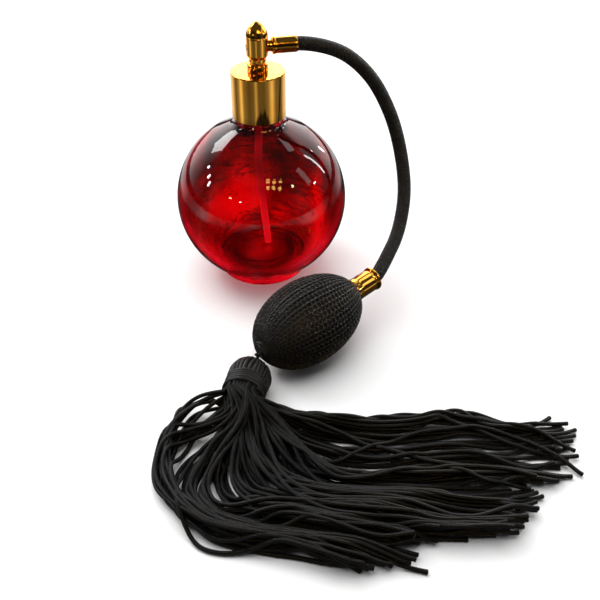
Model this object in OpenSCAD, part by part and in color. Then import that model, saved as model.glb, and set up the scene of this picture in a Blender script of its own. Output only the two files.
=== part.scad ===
// Refillable perfume bottle with a bulb sprayer.
// A round glass flacon stands on a short foot. A screw collar holds the sprayer stem, whose
// swivelling head takes a braided air hose to a squeeze bulb with a cord tassel on its tail.
// Origin: centre of the flat foot, +Z up. Millimetres.

/* [Bottle] */
// Diameter of the round glass body
bottle_d = 70; // [68:0.5:71]
// Diameter of the foot
foot_d = 36.6; // [34:0.2:38]
// Thickness of the glass wall
glass_wall = 2.8; // [2:0.1:3.6]
// Height of the cavity floor above the table
floor_z = 8; // [6:0.5:8.5]
// Bore of the neck
neck_bore_d = 10; // [9.4:0.1:11]

/* [Screw neck] */
// Diameter of the neck under the thread
neck_d = 15.6; // [15.4:0.1:15.8]
// Outer diameter of the neck thread
thread_d = 17.7; // [17.3:0.1:17.8]
// Rise of the thread in one turn
thread_pitch = 3; // [2.8:0.1:3.2]
// Height of the sealing rim above the table
rim_z = 85.4; // [85.3:0.05:85.4]

/* [Collar] */
// Outer diameter of the collar
collar_d = 21.2; // [21:0.1:22.4]
// Height of the lower edge of the collar
collar_z = 70.4; // [70.2:0.1:71]
// Height of the upper face of the collar
collar_top = 88.6; // [88.6:0.05:88.6]

/* [Head] */
// Diameter of the head
head_d = 8.4; // [8.2:0.1:9]
// Height of the tip of the dome
tip_z = 107.4; // [106:0.1:109]
// Height of the hose port
port_z = 97.8; // [97.6:0.1:98]
// Direction of the hose port about the vertical
port_az = 12; // [8:1:16]

/* [Hose] */
// Outside diameter of the braided hose
hose_d = 5.6; // [5.2:0.1:5.6]

/* [Bulb] */
// Length of the squeeze bulb with its cover
bulb_len = 48.2; // [46:0.2:49]
// Diameter of the squeeze bulb with its cover
bulb_d = 31.6; // [30:0.2:31.8]

/* [Tassel] */
// Diameter of the tassel head
tassel_d = 16; // [15:0.2:16.2]

/* [Hidden] */

R = bottle_d / 2;
zc = 33.3;                   // centre of the round body
foot_r = foot_d / 2;
neck_r = neck_d / 2;
bore_r = neck_bore_d / 2;
head_r = head_d / 2;
stem_r = 2.9;
spigot_r = 2.2;
head_z0 = 92;                // lower edge of the head
head_z1 = 101.8;             // seam between head and dome
flange_z = 86.6;             // underside of the stem flange

// hose: braid over rubber tube
braid_r = hose_d / 2;
braid_in = braid_r - 0.5;
tube_r = braid_in - 0.05;
tube_in = 1.5;
barb_r = 1.4;
ferrule_l = 9.6;             // length of the port ferrule
ferrule_d0 = 5.6;            // its start, measured from the axis of the head

// bulb: local +Z runs from the tail to the hose connector
bulb_c = [19.3, -61.6, 15.95];
bulb_az = 41.5;
bulb_el = 5.3;
bulb_ax = [cos(bulb_az) * cos(bulb_el), sin(bulb_az) * cos(bulb_el), sin(bulb_el)];
ba = bulb_len / 2;
bb = bulb_d / 2;
con_r = 4.7;                 // connector radius at the bulb
con_s0 = 23.05;              // connector, from and to along the bulb axis
con_s1 = 34.3;

// tassel: local +Z runs from the top of the dome to the skirt
tas_c = [-2.1, -85.2, 8.1];
tas_az = -102.8;
tr = tassel_d / 2;

// route of the hose between the port ferrule and the bulb connector
hose_free = [[31, 6.5, 93.5], [43, 7.5, 83.5], [51.5, 6, 69.5], [56.5, 1, 55],
             [58.5, -7.5, 40.5], [56, -18.5, 29], [50.5, -30, 22.5]];
// route of the dip tube, which has a slight natural curve
dip_route = [[0, 0, 86], [0, 0, 82.9], [0, 0, 78], [-0.3, 0, 66], [-0.8, 0, 53],
             [-0.6, 0, 43], [0.3, 0, 33], [1.4, 0, 21], [2.4, 0, 9.6], [3, 0, 3]];
// route of the cord loop over the tassel dome to the tail of the bulb
loop_route = [[-1, -75.5, 5], [0, -76.4, 8.1], [0.6, -76.95, 10.7], [1.05, -78.25, 13.1],
              [0.4, -80.4, 15.3]];

// ---- curves -------------------------------------------------------------------------------
function unit(v) = v / norm(v);
function spline_pt(a, b, c, d, t) =
    0.5 * (2 * b + (c - a) * t + (2 * a - 5 * b + 4 * c - d) * t * t
           + (3 * b - a - 3 * c + d) * t * t * t);
// smooth line through all points but the first and the last
function spline(p, m) = [for (i = [1:len(p) - 3]) for (j = [0:m - 1])
    spline_pt(p[i - 1], p[i], p[i + 1], p[i + 2], j / m), p[len(p) - 2]];
function tangents(p) = [for (i = [0:len(p) - 1])
    unit(p[min(i + 1, len(p) - 1)] - p[max(i - 1, 0)])];
function flat_on(n, t) = unit(n - (n * t) * t);
function normals(t, n0) = [for (i = 0, n = flat_on(n0, t[0]); i < len(t);
    i = i + 1, n = i < len(t) ? flat_on(n, t[i]) : n) n];
function ring(p, t, n, r, k) = [for (j = [0:k - 1])
    p + r * (cos(j * 360 / k) * n + sin(j * 360 / k) * cross(t, n))];

// rod of radius r, or tube with the bore r_in, swept along the path
module sweep(path, r, r_in = 0, k = 12, n0 = [0, 0, 1]) {
    t = tangents(path);
    n = normals(t, n0);
    m = len(path);
    outer = [for (i = [0:m - 1]) each ring(path[i], t[i], n[i], r, k)];
    inner = r_in == 0 ? [] : [for (i = [0:m - 1]) each ring(path[i], t[i], n[i], r_in, k)];
    o = m * k;
    sides = [for (i = [0:m - 2]) for (j = [0:k - 1]) let (q = (j + 1) % k)
        each [[i * k + j, (i + 1) * k + j, (i + 1) * k + q], [i * k + j, (i + 1) * k + q, i * k + q]]];
    bore = r_in == 0 ? [] : [for (f = sides) [o + f[2], o + f[1], o + f[0]]];
    caps = r_in == 0
        ? [[for (j = [0:k - 1]) j], [for (j = [k - 1:-1:0]) (m - 1) * k + j]]
        : [for (j = [0:k - 1]) let (q = (j + 1) % k, e = (m - 1) * k)
            each [[j, q, o + q], [j, o + q, o + j],
                  [e + q, e + j, o + e + j], [e + q, o + e + j, o + e + q]]];
    polyhedron(concat(outer, inner), concat(sides, bore, caps), convexity = 8);
}

// screw ridge from radius ra to rb, half widths wa and wb, starting at z0
module ridge(ra, rb, wa, wb, z0, turns, k = 24) {
    m = ceil(turns * k);
    function st(i) = let (a = i * 360 / k, z = z0 + thread_pitch * i / k, c = [cos(a), sin(a), 0])
        [ra * c + [0, 0, z - wa], rb * c + [0, 0, z - wb], rb * c + [0, 0, z + wb], ra * c + [0, 0, z + wa]];
    up = rb > ra;
    pts = [for (i = [0:m]) each st(i)];
    tri = [for (i = [0:m - 1]) for (j = [0:3]) let (q = (j + 1) % 4)
        each [[i * 4 + j, (i + 1) * 4 + q, (i + 1) * 4 + j], [i * 4 + j, i * 4 + q, (i + 1) * 4 + q]]];
    ends = [[3, 2, 1, 0], [m * 4, m * 4 + 1, m * 4 + 2, m * 4 + 3]];
    f = concat(tri, ends);
    polyhedron(pts, up ? f : [for (x = f) [for (i = [len(x) - 1:-1:0]) x[i]]], convexity = 6);
}

module ring_z(ro, ri, z0, z1, fn = 96) {
    translate([0, 0, z0]) difference() {
        cylinder(r = ro, h = z1 - z0, $fn = fn);
        translate([0, 0, -1]) cylinder(r = ri, h = z1 - z0 + 2, $fn = fn);
    }
}

// local +X is the axis of the hose port
module at_port() { translate([0, 0, port_z]) rotate([0, 0, port_az]) children(); }
module along_x(x0) { translate([x0, 0, 0]) rotate([0, 90, 0]) children(); }
module at_bulb() { translate(bulb_c) rotate([0, 90 - bulb_el, bulb_az]) children(); }
module at_tassel() { translate(tas_c) rotate([0, 90, tas_az]) children(); }

function port_pt(d) = [d * cos(port_az), d * sin(port_az), port_z];
function bulb_pt(s) = bulb_c + s * bulb_ax;
port_dir = port_pt(1) - port_pt(0);
// straight in the ferrule and in the connector, free in between
hose_path = concat([port_pt(ferrule_d0 + 1.2), port_pt(ferrule_d0 + 5.4)],
    spline(concat([hose_free[0] - 26 * port_dir, port_pt(ferrule_d0 + ferrule_l)], hose_free,
                  [bulb_pt(con_s1), hose_free[6] - 16 * bulb_ax]), 4),
    [bulb_pt(con_s1 - 1.8), bulb_pt(con_s1 - 3.6)]);

// half outline of an egg-shaped body of half length a and radius b, slightly fuller at the tail
function egg(a, b, n = 28) = [for (i = [0:n]) let (w = -90 + 180 * i / n)
    [i == 0 || i == n ? 0 : b * cos(w) * (1 - 0.03 * sin(w)), a * sin(w)]];
module egg_solid(a, b) { rotate_extrude($fn = 96) polygon(egg(a, b)); }

// ---- bottle -------------------------------------------------------------------------------
module glass_bottle() {
    color([0.72, 0.02, 0.06, 0.6]) difference() {
        union() {
            intersection() {
                translate([0, 0, zc]) sphere(r = R, $fn = 180);
                translate([-R - 1, -R - 1, 3]) cube([2 * R + 2, 2 * R + 2, 2 * R]);
            }
            rotate_extrude($fn = 180)
                polygon([[0, 0], [foot_r - 1.2, 0], [foot_r - 0.35, 0.35], [foot_r, 1.2],
                         [foot_r, 3.4], [foot_r - 0.4, 4.2], [0, 6]]);
            // shoulder under the collar
            rotate_extrude($fn = 120)
                polygon([[0, 60], [10.4, 64], [10, 67.6], [9.4, 69.4], [8.4, 70], [0, 70]]);
            translate([0, 0, 64]) cylinder(r = neck_r, h = rim_z - 64, $fn = 120);
            ridge(neck_r - 0.3, thread_d / 2, 0.9, 0.45, 75.5, 1.5);
        }
        intersection() {
            translate([0, 0, zc + 0.4]) sphere(r = R - glass_wall, $fn = 180);
            translate([-R, -R, floor_z]) cube([2 * R, 2 * R, 2 * R]);
        }
        translate([0, 0, 50]) cylinder(r = bore_r, h = 40, $fn = 120);
    }
}

// ---- sprayer ------------------------------------------------------------------------------
module neck_gasket() {
    color([0.9, 0.9, 0.88]) ring_z(neck_r - 0.3, 3.3, rim_z + 0.02, flange_z - 0.01);
}
module sprayer_stem() {
    color([0.85, 0.62, 0.2]) difference() {
        union() {
            translate([0, 0, 79]) cylinder(r = 3.2, h = flange_z - 78.5, $fn = 72);
            translate([0, 0, flange_z]) cylinder(r = 7, h = 0.8, $fn = 96);
            translate([0, 0, flange_z + 0.5]) cylinder(r = stem_r, h = 91.5 - flange_z - 0.5, $fn = 72);
            translate([0, 0, 91]) cylinder(r = spigot_r, h = 4.8, $fn = 72);
        }
        translate([0, 0, 70]) cylinder(r = 0.7, h = 40, $fn = 36);
        translate([0, 0, 78]) cylinder(r = 1.55, h = 5, $fn = 48);
    }
}
module stem_ring() {
    color([0.95, 0.72, 0.22]) difference() {
        rotate_extrude($fn = 96)
            polygon([[stem_r + 0.02, 88.7], [3.9, 88.7], [4.05, 88.85], [4.05, 91.2], [3.7, 91.55],
                     [stem_r + 0.02, 91.55]]);
    }
}
module dip_tube() {
    color([0.86, 0.86, 0.84]) sweep(spline(dip_route, 2), 1.5, 0.9, 12, [0, 1, 0]);
}
module collar_shell() {
    c = collar_d / 2;
    color([0.95, 0.72, 0.22]) rotate_extrude($fn = 144)
        polygon([[c - 0.6, collar_z], [c - 0.12, collar_z], [c, collar_z + 0.12], [c, collar_top - 0.3],
                 [c - 0.3, collar_top], [3, collar_top], [3, collar_top - 0.6], [c - 0.6, collar_top - 0.6]]);
}
module collar_liner() {
    c = collar_d / 2 - 0.61;
    color([0.93, 0.93, 0.9]) union() {
        ring_z(c, 9.05, collar_z + 0.4, 87.6);
        ring_z(c, 3.3, 87.45, collar_top - 0.62);
        ridge(9.35, 8.05, 0.75, 0.35, 74, 1.5);
    }
}

// ---- head ---------------------------------------------------------------------------------
module head_body() {
    color([0.95, 0.72, 0.22]) difference() {
        rotate_extrude($fn = 120)
            polygon([[0, head_z0], [3.15, head_z0], [3.4, head_z0 + 0.25], [3.4, head_z0 + 1.7],
                     [head_r - 0.3, head_z0 + 2.2], [head_r, head_z0 + 2.6], [head_r, head_z1], [0, head_z1]]);
        translate([0, 0, 90]) cylinder(r = spigot_r + 0.05, h = 6, $fn = 72);
        translate([0, 0, 95]) cylinder(r = 2, h = 5, $fn = 72);
        translate([0, 0, 99]) cylinder(r = 3, h = 4, $fn = 72);
        at_port() along_x(0) cylinder(r = 1.1, h = 6, $fn = 36);
        at_port() along_x(2.6) cylinder(r = 1.9, h = 4, $fn = 60);
        at_port() along_x(-6) cylinder(r = 1.3, h = 3, $fn = 48);
        at_port() along_x(-4) cylinder(r = 0.6, h = 4, $fn = 36);
    }
}
// bullet-shaped cap of the head, with a plug that closes the chamber
module head_dome() {
    h = tip_z - head_z1 - 0.03;
    color([0.95, 0.72, 0.22]) rotate_extrude($fn = 120)
        polygon(concat([[0, 99.55], [2.95, 99.55], [2.95, head_z1 + 0.03]],
            [for (i = [0:14]) let (t = i / 15) [head_r * pow(1 - pow(t, 1.9), 0.72), head_z1 + 0.03 + h * t]],
            [[0, tip_z]]));
}
module dome_seal() { color([0.12, 0.12, 0.12]) ring_z(2.9, 2.02, 99.02, 99.52, 72); }
module liquid_jet() {
    color([0.8, 0.6, 0.25]) difference() {
        union() {
            translate([0, 0, 96.02]) cylinder(r = 1.95, h = 0.5, $fn = 60);
            translate([0, 0, 96.02]) cylinder(r = 0.8, h = 1.6, $fn = 36);
        }
        translate([0, 0, 95]) cylinder(r = 0.35, h = 5, $fn = 24);
        for (a = [30:60:330]) rotate([0, 0, a]) translate([1.4, 0, 95.5]) cylinder(r = 0.25, h = 2, $fn = 16);
    }
}
module nozzle_insert() {
    color([0.85, 0.62, 0.2]) at_port() difference() {
        along_x(-head_r - 0.05) cylinder(r = 1.25, h = 1.15, $fn = 48);
        along_x(-6) cylinder(r = 0.2, h = 4, $fn = 24);
        along_x(-head_r - 0.1) cylinder(r1 = 0.8, r2 = 0.2, h = 0.5, $fn = 36);
    }
}
module hose_barb() {
    color([0.75, 0.5, 0.15]) at_port() difference() {
        union() {
            along_x(3.05) cylinder(r = 1.88, h = 2.8, $fn = 60);
            along_x(4.5) cylinder(r = 2.2, h = 1.5, $fn = 60);
            along_x(5) cylinder(r = barb_r, h = 9, $fn = 48);
        }
        along_x(0) cylinder(r = 0.75, h = 20, $fn = 36);
    }
}
module port_ferrule() {
    color([0.95, 0.72, 0.22]) at_port() difference() {
        along_x(0) rotate_extrude($fn = 96)
            polygon([[0, ferrule_d0], [3.05, ferrule_d0], [3.3, ferrule_d0 + 0.25], [3.3, ferrule_d0 + 1],
                     [3.1, ferrule_d0 + ferrule_l - 0.2], [2.95, ferrule_d0 + ferrule_l],
                     [0, ferrule_d0 + ferrule_l]]);
        along_x(ferrule_d0 - 1) cylinder(r = 2.23, h = 3, $fn = 60);
        along_x(ferrule_d0 + 1) cylinder(r = braid_r + 0.02, h = 20, $fn = 60);
    }
}

// ---- hose ---------------------------------------------------------------------------------
module hose_tube() { color([0.15, 0.15, 0.15]) sweep(hose_path, tube_r, tube_in, 12); }
module hose_braid() { color([0.05, 0.05, 0.05]) sweep(hose_path, braid_r, braid_in, 12); }

// ---- bulb ---------------------------------------------------------------------------------
module bulb_connector() {
    color([0.95, 0.72, 0.22]) at_bulb() difference() {
        rotate_extrude($fn = 96)
            polygon([[0, con_s0], [con_r - 0.1, con_s0], [con_r, con_s0 + 0.2], [4.35, con_s1 - 1.9],
                     [4.15, con_s1 - 1.5], [4.15, con_s1 - 1.1], [4.7, con_s1 - 0.9], [4.7, con_s1 - 0.2],
                     [4.5, con_s1], [0, con_s1]]);
        translate([0, 0, con_s0 - 1]) cylinder(r = 3.75, h = 6.3, $fn = 72);
        translate([0, 0, con_s0 + 5]) cylinder(r = braid_r + 0.1, h = 10, $fn = 60);
    }
}
// turned insert: plugs the neck of the bulb, holds the outlet valve, and ends in the hose barb
module outlet_valve_body() {
    color([0.8, 0.6, 0.25]) at_bulb() difference() {
        union() {
            translate([0, 0, 19.5]) cylinder(r = 2.35, h = 9, $fn = 60);
            translate([0, 0, 28.36]) cylinder(r = 2.8, h = 0.9, $fn = 60);
            translate([0, 0, 28.5]) cylinder(r = barb_r, h = 5.3, $fn = 48);
        }
        translate([0, 0, 18]) cylinder(r = 0.6, h = 25, $fn = 36);
        translate([0, 0, 22]) cylinder(r = 1.3, h = 3.2, $fn = 48);
    }
}
module outlet_valve_ball() {
    color([0.7, 0.7, 0.72]) at_bulb() translate([0, 0, 23.35]) sphere(r = 1, $fn = 48);
}
module rubber_bulb() {
    color([0.1, 0.1, 0.1]) at_bulb() difference() {
        union() {
            intersection() {
                egg_solid(ba - 0.85, bb - 0.85);
                translate([0, 0, -60]) cylinder(r = 40, h = 60 + con_s0 - 0.4, $fn = 48);
            }
            translate([0, 0, 18]) cylinder(r = 3.65, h = 10.3, $fn = 72);
        }
        intersection() {
            egg_solid(ba - 2.4, bb - 2.4);
            translate([0, 0, -60]) cylinder(r = 40, h = 80, $fn = 48);
        }
        translate([0, 0, 15]) cylinder(r = 2.4, h = 20, $fn = 60);
        translate([0, 0, -30]) cylinder(r = 2.2, h = 12, $fn = 60);
    }
}
module bulb_cover() {
    color([0.04, 0.04, 0.04]) at_bulb() difference() {
        egg_solid(ba, bb);
        egg_solid(ba - 0.8, bb - 0.8);
        translate([0, 0, con_s0 - 3]) cylinder(r = con_r + 0.05, h = 10, $fn = 72);
        translate([0, 0, -30]) cylinder(r = 1, h = 10, $fn = 36);
    }
}
module inlet_valve_body() {
    color([0.75, 0.75, 0.75]) at_bulb() difference() {
        union() {
            translate([0, 0, -23]) cylinder(r = 2.15, h = 5, $fn = 60);
            translate([0, 0, -20.2]) cylinder(r = 3, h = 0.8, $fn = 60);
        }
        translate([0, 0, -26]) cylinder(r = 0.6, h = 12, $fn = 36);
        translate([0, 0, -22.2]) cylinder(r = 1.3, h = 3, $fn = 48);
    }
}
module inlet_valve_ball() {
    color([0.7, 0.7, 0.72]) at_bulb() translate([0, 0, -20.45]) sphere(r = 1, $fn = 48);
}

// ---- tassel -------------------------------------------------------------------------------
module tassel_loop() { color([0.05, 0.05, 0.05]) sweep(spline(loop_route, 4), 0.6, 0, 8, [0, 1, 0]); }
module tassel_core() {
    color([0.72, 0.55, 0.35]) at_tassel() union() {
        sphere(r = tr - 1.6, $fn = 72);
        cylinder(r = 5, h = 9.6, $fn = 72);
    }
}
module tassel_head() {
    color([0.04, 0.04, 0.04]) at_tassel() difference() {
        union() {
            sphere(r = tr, $fn = 96);
            cylinder(r1 = tr, r2 = tr - 0.4, h = 2.5, $fn = 96);
        }
        sphere(r = tr - 1.58, $fn = 72);
        cylinder(r = tr - 1.58, h = 6, $fn = 72);
        translate([0, 0, 2.5]) cylinder(r = 12, h = 10, $fn = 48);
    }
}
module tassel_band() {
    color([0.05, 0.05, 0.05]) at_tassel() difference() {
        rotate_extrude($fn = 96)
            polygon([[0, 2.55], [7.3, 2.55], [7.75, 3.1], [7.75, 9.3], [7.3, 9.8], [0, 9.8]]);
        cylinder(r = 5.02, h = 9.62, $fn = 72);
        sphere(r = tr - 1.58, $fn = 72);
    }
}
// outer shape of the loose cords, in five lengths that lie end to end on the table
module skirt_root() {
    color([0.06, 0.06, 0.06]) hull() {
        at_tassel() translate([0, 0, 9.85]) cylinder(r = 7.3, h = 0.3, $fn = 32);
        translate([0, 0, 0.1]) linear_extrude(6)
            polygon([[-22, -101], [-24, -112], [16, -112], [14, -99]]);
    }
}
module skirt_left() {
    color([0.07, 0.07, 0.07]) translate([0, 0, 0.1]) linear_extrude(5.6)
        polygon([[-24.3, -103], [-29.5, -108], [-32.5, -117], [-33, -126], [-30.5, -134], [-25, -141],
                 [-18, -147], [-10, -151.5], [-6, -152], [-6, -112.3], [-24.3, -112.3]]);
}
module skirt_middle() {
    color([0.06, 0.06, 0.06]) translate([0, 0, 0.1]) linear_extrude(8)
        polygon([[-5.8, -112.3], [16.3, -112.3], [16.3, -99.5], [26, -100.5], [40, -97.5], [40, -162.5],
                 [30, -161.8], [22, -158], [9, -154], [-5.8, -152.2]]);
}
module skirt_run() {
    color([0.07, 0.07, 0.07]) translate([0, 0, 0.1]) linear_extrude(7.4)
        polygon([[40.2, -97.5], [55, -94], [66, -93.5], [78, -94], [78, -150], [68, -150.5], [58, -152],
                 [54, -162], [42, -163], [40.2, -163]]);
}
module skirt_ends() {
    color([0.06, 0.06, 0.06]) translate([0, 0, 0.1]) linear_extrude(4.5)
        polygon([[78.2, -94], [93.5, -96], [104, -98.5], [111, -103.5], [111, -110], [109.5, -117],
                 [109, -125], [102, -128], [94, -134], [86, -146], [80, -150], [78.2, -150]]);
}

glass_bottle();
neck_gasket();
collar_shell();
collar_liner();
sprayer_stem();
stem_ring();
dip_tube();
head_body();
head_dome();
dome_seal();
liquid_jet();
nozzle_insert();
hose_barb();
port_ferrule();
hose_tube();
hose_braid();
bulb_connector();
outlet_valve_body();
outlet_valve_ball();
rubber_bulb();
bulb_cover();
inlet_valve_body();
inlet_valve_ball();
tassel_loop();
tassel_core();
tassel_head();
tassel_band();
skirt_root();
skirt_left();
skirt_middle();
skirt_run();
skirt_ends();
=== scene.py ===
import math
import random

import bpy
import numpy as np
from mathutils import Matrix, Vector


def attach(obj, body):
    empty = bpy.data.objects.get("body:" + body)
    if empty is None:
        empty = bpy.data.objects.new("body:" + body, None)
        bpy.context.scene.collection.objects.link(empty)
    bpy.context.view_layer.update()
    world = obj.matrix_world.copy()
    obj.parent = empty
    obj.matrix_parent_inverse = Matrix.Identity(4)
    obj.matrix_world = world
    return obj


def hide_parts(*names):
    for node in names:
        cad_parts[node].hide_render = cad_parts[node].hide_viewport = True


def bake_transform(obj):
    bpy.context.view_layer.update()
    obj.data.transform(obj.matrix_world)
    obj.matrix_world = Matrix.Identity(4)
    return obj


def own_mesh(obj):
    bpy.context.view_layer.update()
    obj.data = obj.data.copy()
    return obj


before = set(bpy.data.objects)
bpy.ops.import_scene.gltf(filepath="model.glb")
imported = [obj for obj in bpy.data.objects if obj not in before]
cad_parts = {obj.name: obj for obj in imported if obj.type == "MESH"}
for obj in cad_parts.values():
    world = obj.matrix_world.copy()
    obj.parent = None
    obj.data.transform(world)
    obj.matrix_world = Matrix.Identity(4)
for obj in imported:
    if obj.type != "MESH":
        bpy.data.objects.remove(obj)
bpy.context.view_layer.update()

# Every length below is in millimetres, in the row frame, until it is handed to Blender in metres.
MM = 0.001
random.seed(7)
rng = np.random.default_rng(7)

# ------------------------------------------------------------------ camera
cam_data = bpy.data.cameras.new("camera")
cam_data.lens = 51.77
cam_data.sensor_width = 36.0
cam_data.clip_start, cam_data.clip_end = 0.01, 20.0
camera = bpy.data.objects.new("camera", cam_data)
camera.location = (0.01608, -0.3144, 0.21734)
camera.rotation_euler = (math.radians(52.806), 0.0, 0.0)
bpy.context.scene.collection.objects.link(camera)
bpy.context.scene.camera = camera


# ------------------------------------------------------------------ mesh tools
def vec(*p):
    return np.array(p, float)


def unit(v):
    v = np.asarray(v, float)
    return v / np.maximum(np.linalg.norm(v, axis=-1, keepdims=True), 1e-12)


def mesh_object(name, parts, smooth_angle=None):
    """parts is a list of (verts Nx3 in mm, polys MxK, uvs M*Kx2), joined into one mesh object."""
    vs, loops, starts, uvs = [], [], [], []
    base = at = 0
    for verts, polys, uv in parts:
        polys = np.asarray(polys, np.int64)
        vs.append(np.asarray(verts, float))
        loops.append((polys + base).ravel())
        starts.append(at + np.arange(len(polys)) * polys.shape[1])
        uvs.append(np.asarray(uv, float).reshape(-1, 2))
        base += len(verts)
        at += polys.size
    v, l, s, u = np.vstack(vs), np.concatenate(loops), np.concatenate(starts), np.vstack(uvs)
    me = bpy.data.meshes.new(name)
    me.vertices.add(len(v))
    me.vertices.foreach_set("co", (v * MM).astype(np.float32).ravel())
    me.loops.add(len(l))
    me.loops.foreach_set("vertex_index", l.astype(np.int32))
    me.polygons.add(len(s))
    me.polygons.foreach_set("loop_start", s.astype(np.int32))
    layer = me.uv_layers.new(name="UVMap")
    layer.data.foreach_set("uv", u.astype(np.float32).ravel())
    me.update(calc_edges=True)
    me.validate()
    me.polygons.foreach_set("use_smooth", np.ones(len(me.polygons), bool))
    if smooth_angle is not None:
        me.set_sharp_from_angle(angle=math.radians(smooth_angle))
    ob = bpy.data.objects.new(name, me)
    bpy.context.scene.collection.objects.link(ob)
    return ob


def grid(rings, v=None, close_along=False, u_scale=1.0):
    """Quads over rings (m, n, 3), closed round each ring; v is the second texture coordinate of each ring."""
    rings = np.asarray(rings, float)
    m, n = rings.shape[:2]
    v = np.arange(m, dtype=float) if v is None else np.asarray(v, float)
    rows = m if close_along else m - 1
    i, j = np.meshgrid(np.arange(rows), np.arange(n), indexing="ij")
    i2, j2 = (i + 1) % m, (j + 1) % n
    polys = np.stack([i * n + j, i * n + j2, i2 * n + j2, i2 * n + j], -1).reshape(-1, 4)
    step = v[1] - v[0]
    v2 = np.where(i + 1 < m, v[i2], v[i] + step)
    u = np.stack([np.stack([j / n * u_scale, v[i]], -1), np.stack([(j + 1) / n * u_scale, v[i]], -1),
                  np.stack([(j + 1) / n * u_scale, v2], -1), np.stack([j / n * u_scale, v2], -1)], 2)
    return rings.reshape(-1, 3), polys, u.reshape(-1, 2)


def fan(ring, tip, flip=False):
    """Triangles from a ring to one point."""
    n = len(ring)
    verts = np.vstack([ring, tip])
    j = np.arange(n)
    tri = np.stack([j, (j + 1) % n, np.full(n, n)], -1)
    if flip:
        tri = tri[:, ::-1]
    return verts, tri, np.zeros((n * 3, 2))


def rounded(points, radius, steps=5):
    """A profile with each inner corner turned into a small arc of about that radius; radius may be a list."""
    pts = [np.array(p, float) for p in points]
    rad = radius if hasattr(radius, "__len__") else [radius] * len(pts)
    out = [pts[0]]
    for k in range(1, len(pts) - 1):
        p, a, b = pts[k], pts[k - 1], pts[k + 1]
        da, db = a - p, b - p
        la, lb = np.linalg.norm(da), np.linalg.norm(db)
        cut = min(rad[k], la * 0.45, lb * 0.45)
        if cut < 1e-4:
            out.append(p)
            continue
        q0, q1 = p + da / la * cut, p + db / lb * cut
        for t in np.linspace(0, 1, steps):
            out.append((1 - t) ** 2 * q0 + 2 * t * (1 - t) * p + t * t * q1)
    out.append(pts[-1])
    return np.array(out)


def turned(profile, segs=160, origin=(0, 0, 0), axis=(0, 0, 1), closed=False):
    """A surface turned about an axis from (radius, height) points. Heights are along axis from origin."""
    prof = np.asarray(profile, float)
    ax = unit(vec(*axis))
    side = unit(np.cross(ax, vec(0, 1, 0) if abs(ax[1]) < 0.9 else vec(1, 0, 0)))
    other = np.cross(ax, side)
    a = np.linspace(0, 2 * math.pi, segs, endpoint=False)
    circle = np.cos(a)[:, None] * side + np.sin(a)[:, None] * other
    o = vec(*origin)
    body = prof[(prof[:, 0] > 1e-6)]
    rings = o + body[:, :1, None] * circle[None] + body[:, 1:, None] * ax[None, None]
    run = np.concatenate([[0], np.cumsum(np.linalg.norm(np.diff(body, axis=0), axis=1))])
    parts = [grid(rings, run, close_along=closed, u_scale=1.0)]
    if not closed:
        if prof[0, 0] <= 1e-6:
            parts.append(fan(rings[0], o + ax * prof[0, 1], flip=True))
        if prof[-1, 0] <= 1e-6:
            parts.append(fan(rings[-1], o + ax * prof[-1, 1]))
    return parts


def spline(points, step, first=None, last=None, alpha=0.5):
    """A centripetal Catmull-Rom curve through the points, resampled evenly."""
    P = [np.array(p, float) for p in points]
    first = 2 * P[0] - P[1] if first is None else np.array(first, float)
    last = 2 * P[-1] - P[-2] if last is None else np.array(last, float)
    Q = [first] + P + [last]
    out = []
    for k in range(1, len(Q) - 2):
        p0, p1, p2, p3 = Q[k - 1], Q[k], Q[k + 1], Q[k + 2]
        t0 = 0.0
        t1 = t0 + max(np.linalg.norm(p1 - p0), 1e-6) ** alpha
        t2 = t1 + max(np.linalg.norm(p2 - p1), 1e-6) ** alpha
        t3 = t2 + max(np.linalg.norm(p3 - p2), 1e-6) ** alpha
        t = np.linspace(t1, t2, 16, endpoint=False)[:, None]
        a1 = (t1 - t) / (t1 - t0) * p0 + (t - t0) / (t1 - t0) * p1
        a2 = (t2 - t) / (t2 - t1) * p1 + (t - t1) / (t2 - t1) * p2
        a3 = (t3 - t) / (t3 - t2) * p2 + (t - t2) / (t3 - t2) * p3
        b1 = (t2 - t) / (t2 - t0) * a1 + (t - t0) / (t2 - t0) * a2
        b2 = (t3 - t) / (t3 - t1) * a2 + (t - t1) / (t3 - t1) * a3
        out.append((t2 - t) / (t2 - t1) * b1 + (t - t1) / (t2 - t1) * b2)
    out.append(P[-1][None])
    return resample(np.vstack(out), step)


def resample(C, step):
    s = np.concatenate([[0], np.cumsum(np.linalg.norm(np.diff(C, axis=0), axis=1))])
    n = max(2, int(round(s[-1] / step)) + 1)
    t = np.linspace(0, s[-1], n)
    return np.stack([np.interp(t, s, C[:, k]) for k in range(C.shape[1])], -1)


def length_of(C):
    return float(np.linalg.norm(np.diff(C, axis=0), axis=1).sum())


def frames(C, closed=False):
    """Tangent, normal and binormal along a line, carried along without twist."""
    T = unit(np.roll(C, -1, 0) - np.roll(C, 1, 0)) if closed else unit(np.gradient(C, axis=0))
    up = vec(0, 0, 1) if abs(T[0, 2]) < 0.9 else vec(1, 0, 0)
    n = unit(np.cross(np.cross(T[0], up), T[0]))
    N = [n]
    for k in range(1, len(C)):
        n = unit(n - T[k] * (n @ T[k]))
        N.append(n)
    N = np.array(N)
    return T, N, np.cross(T, N)


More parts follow.
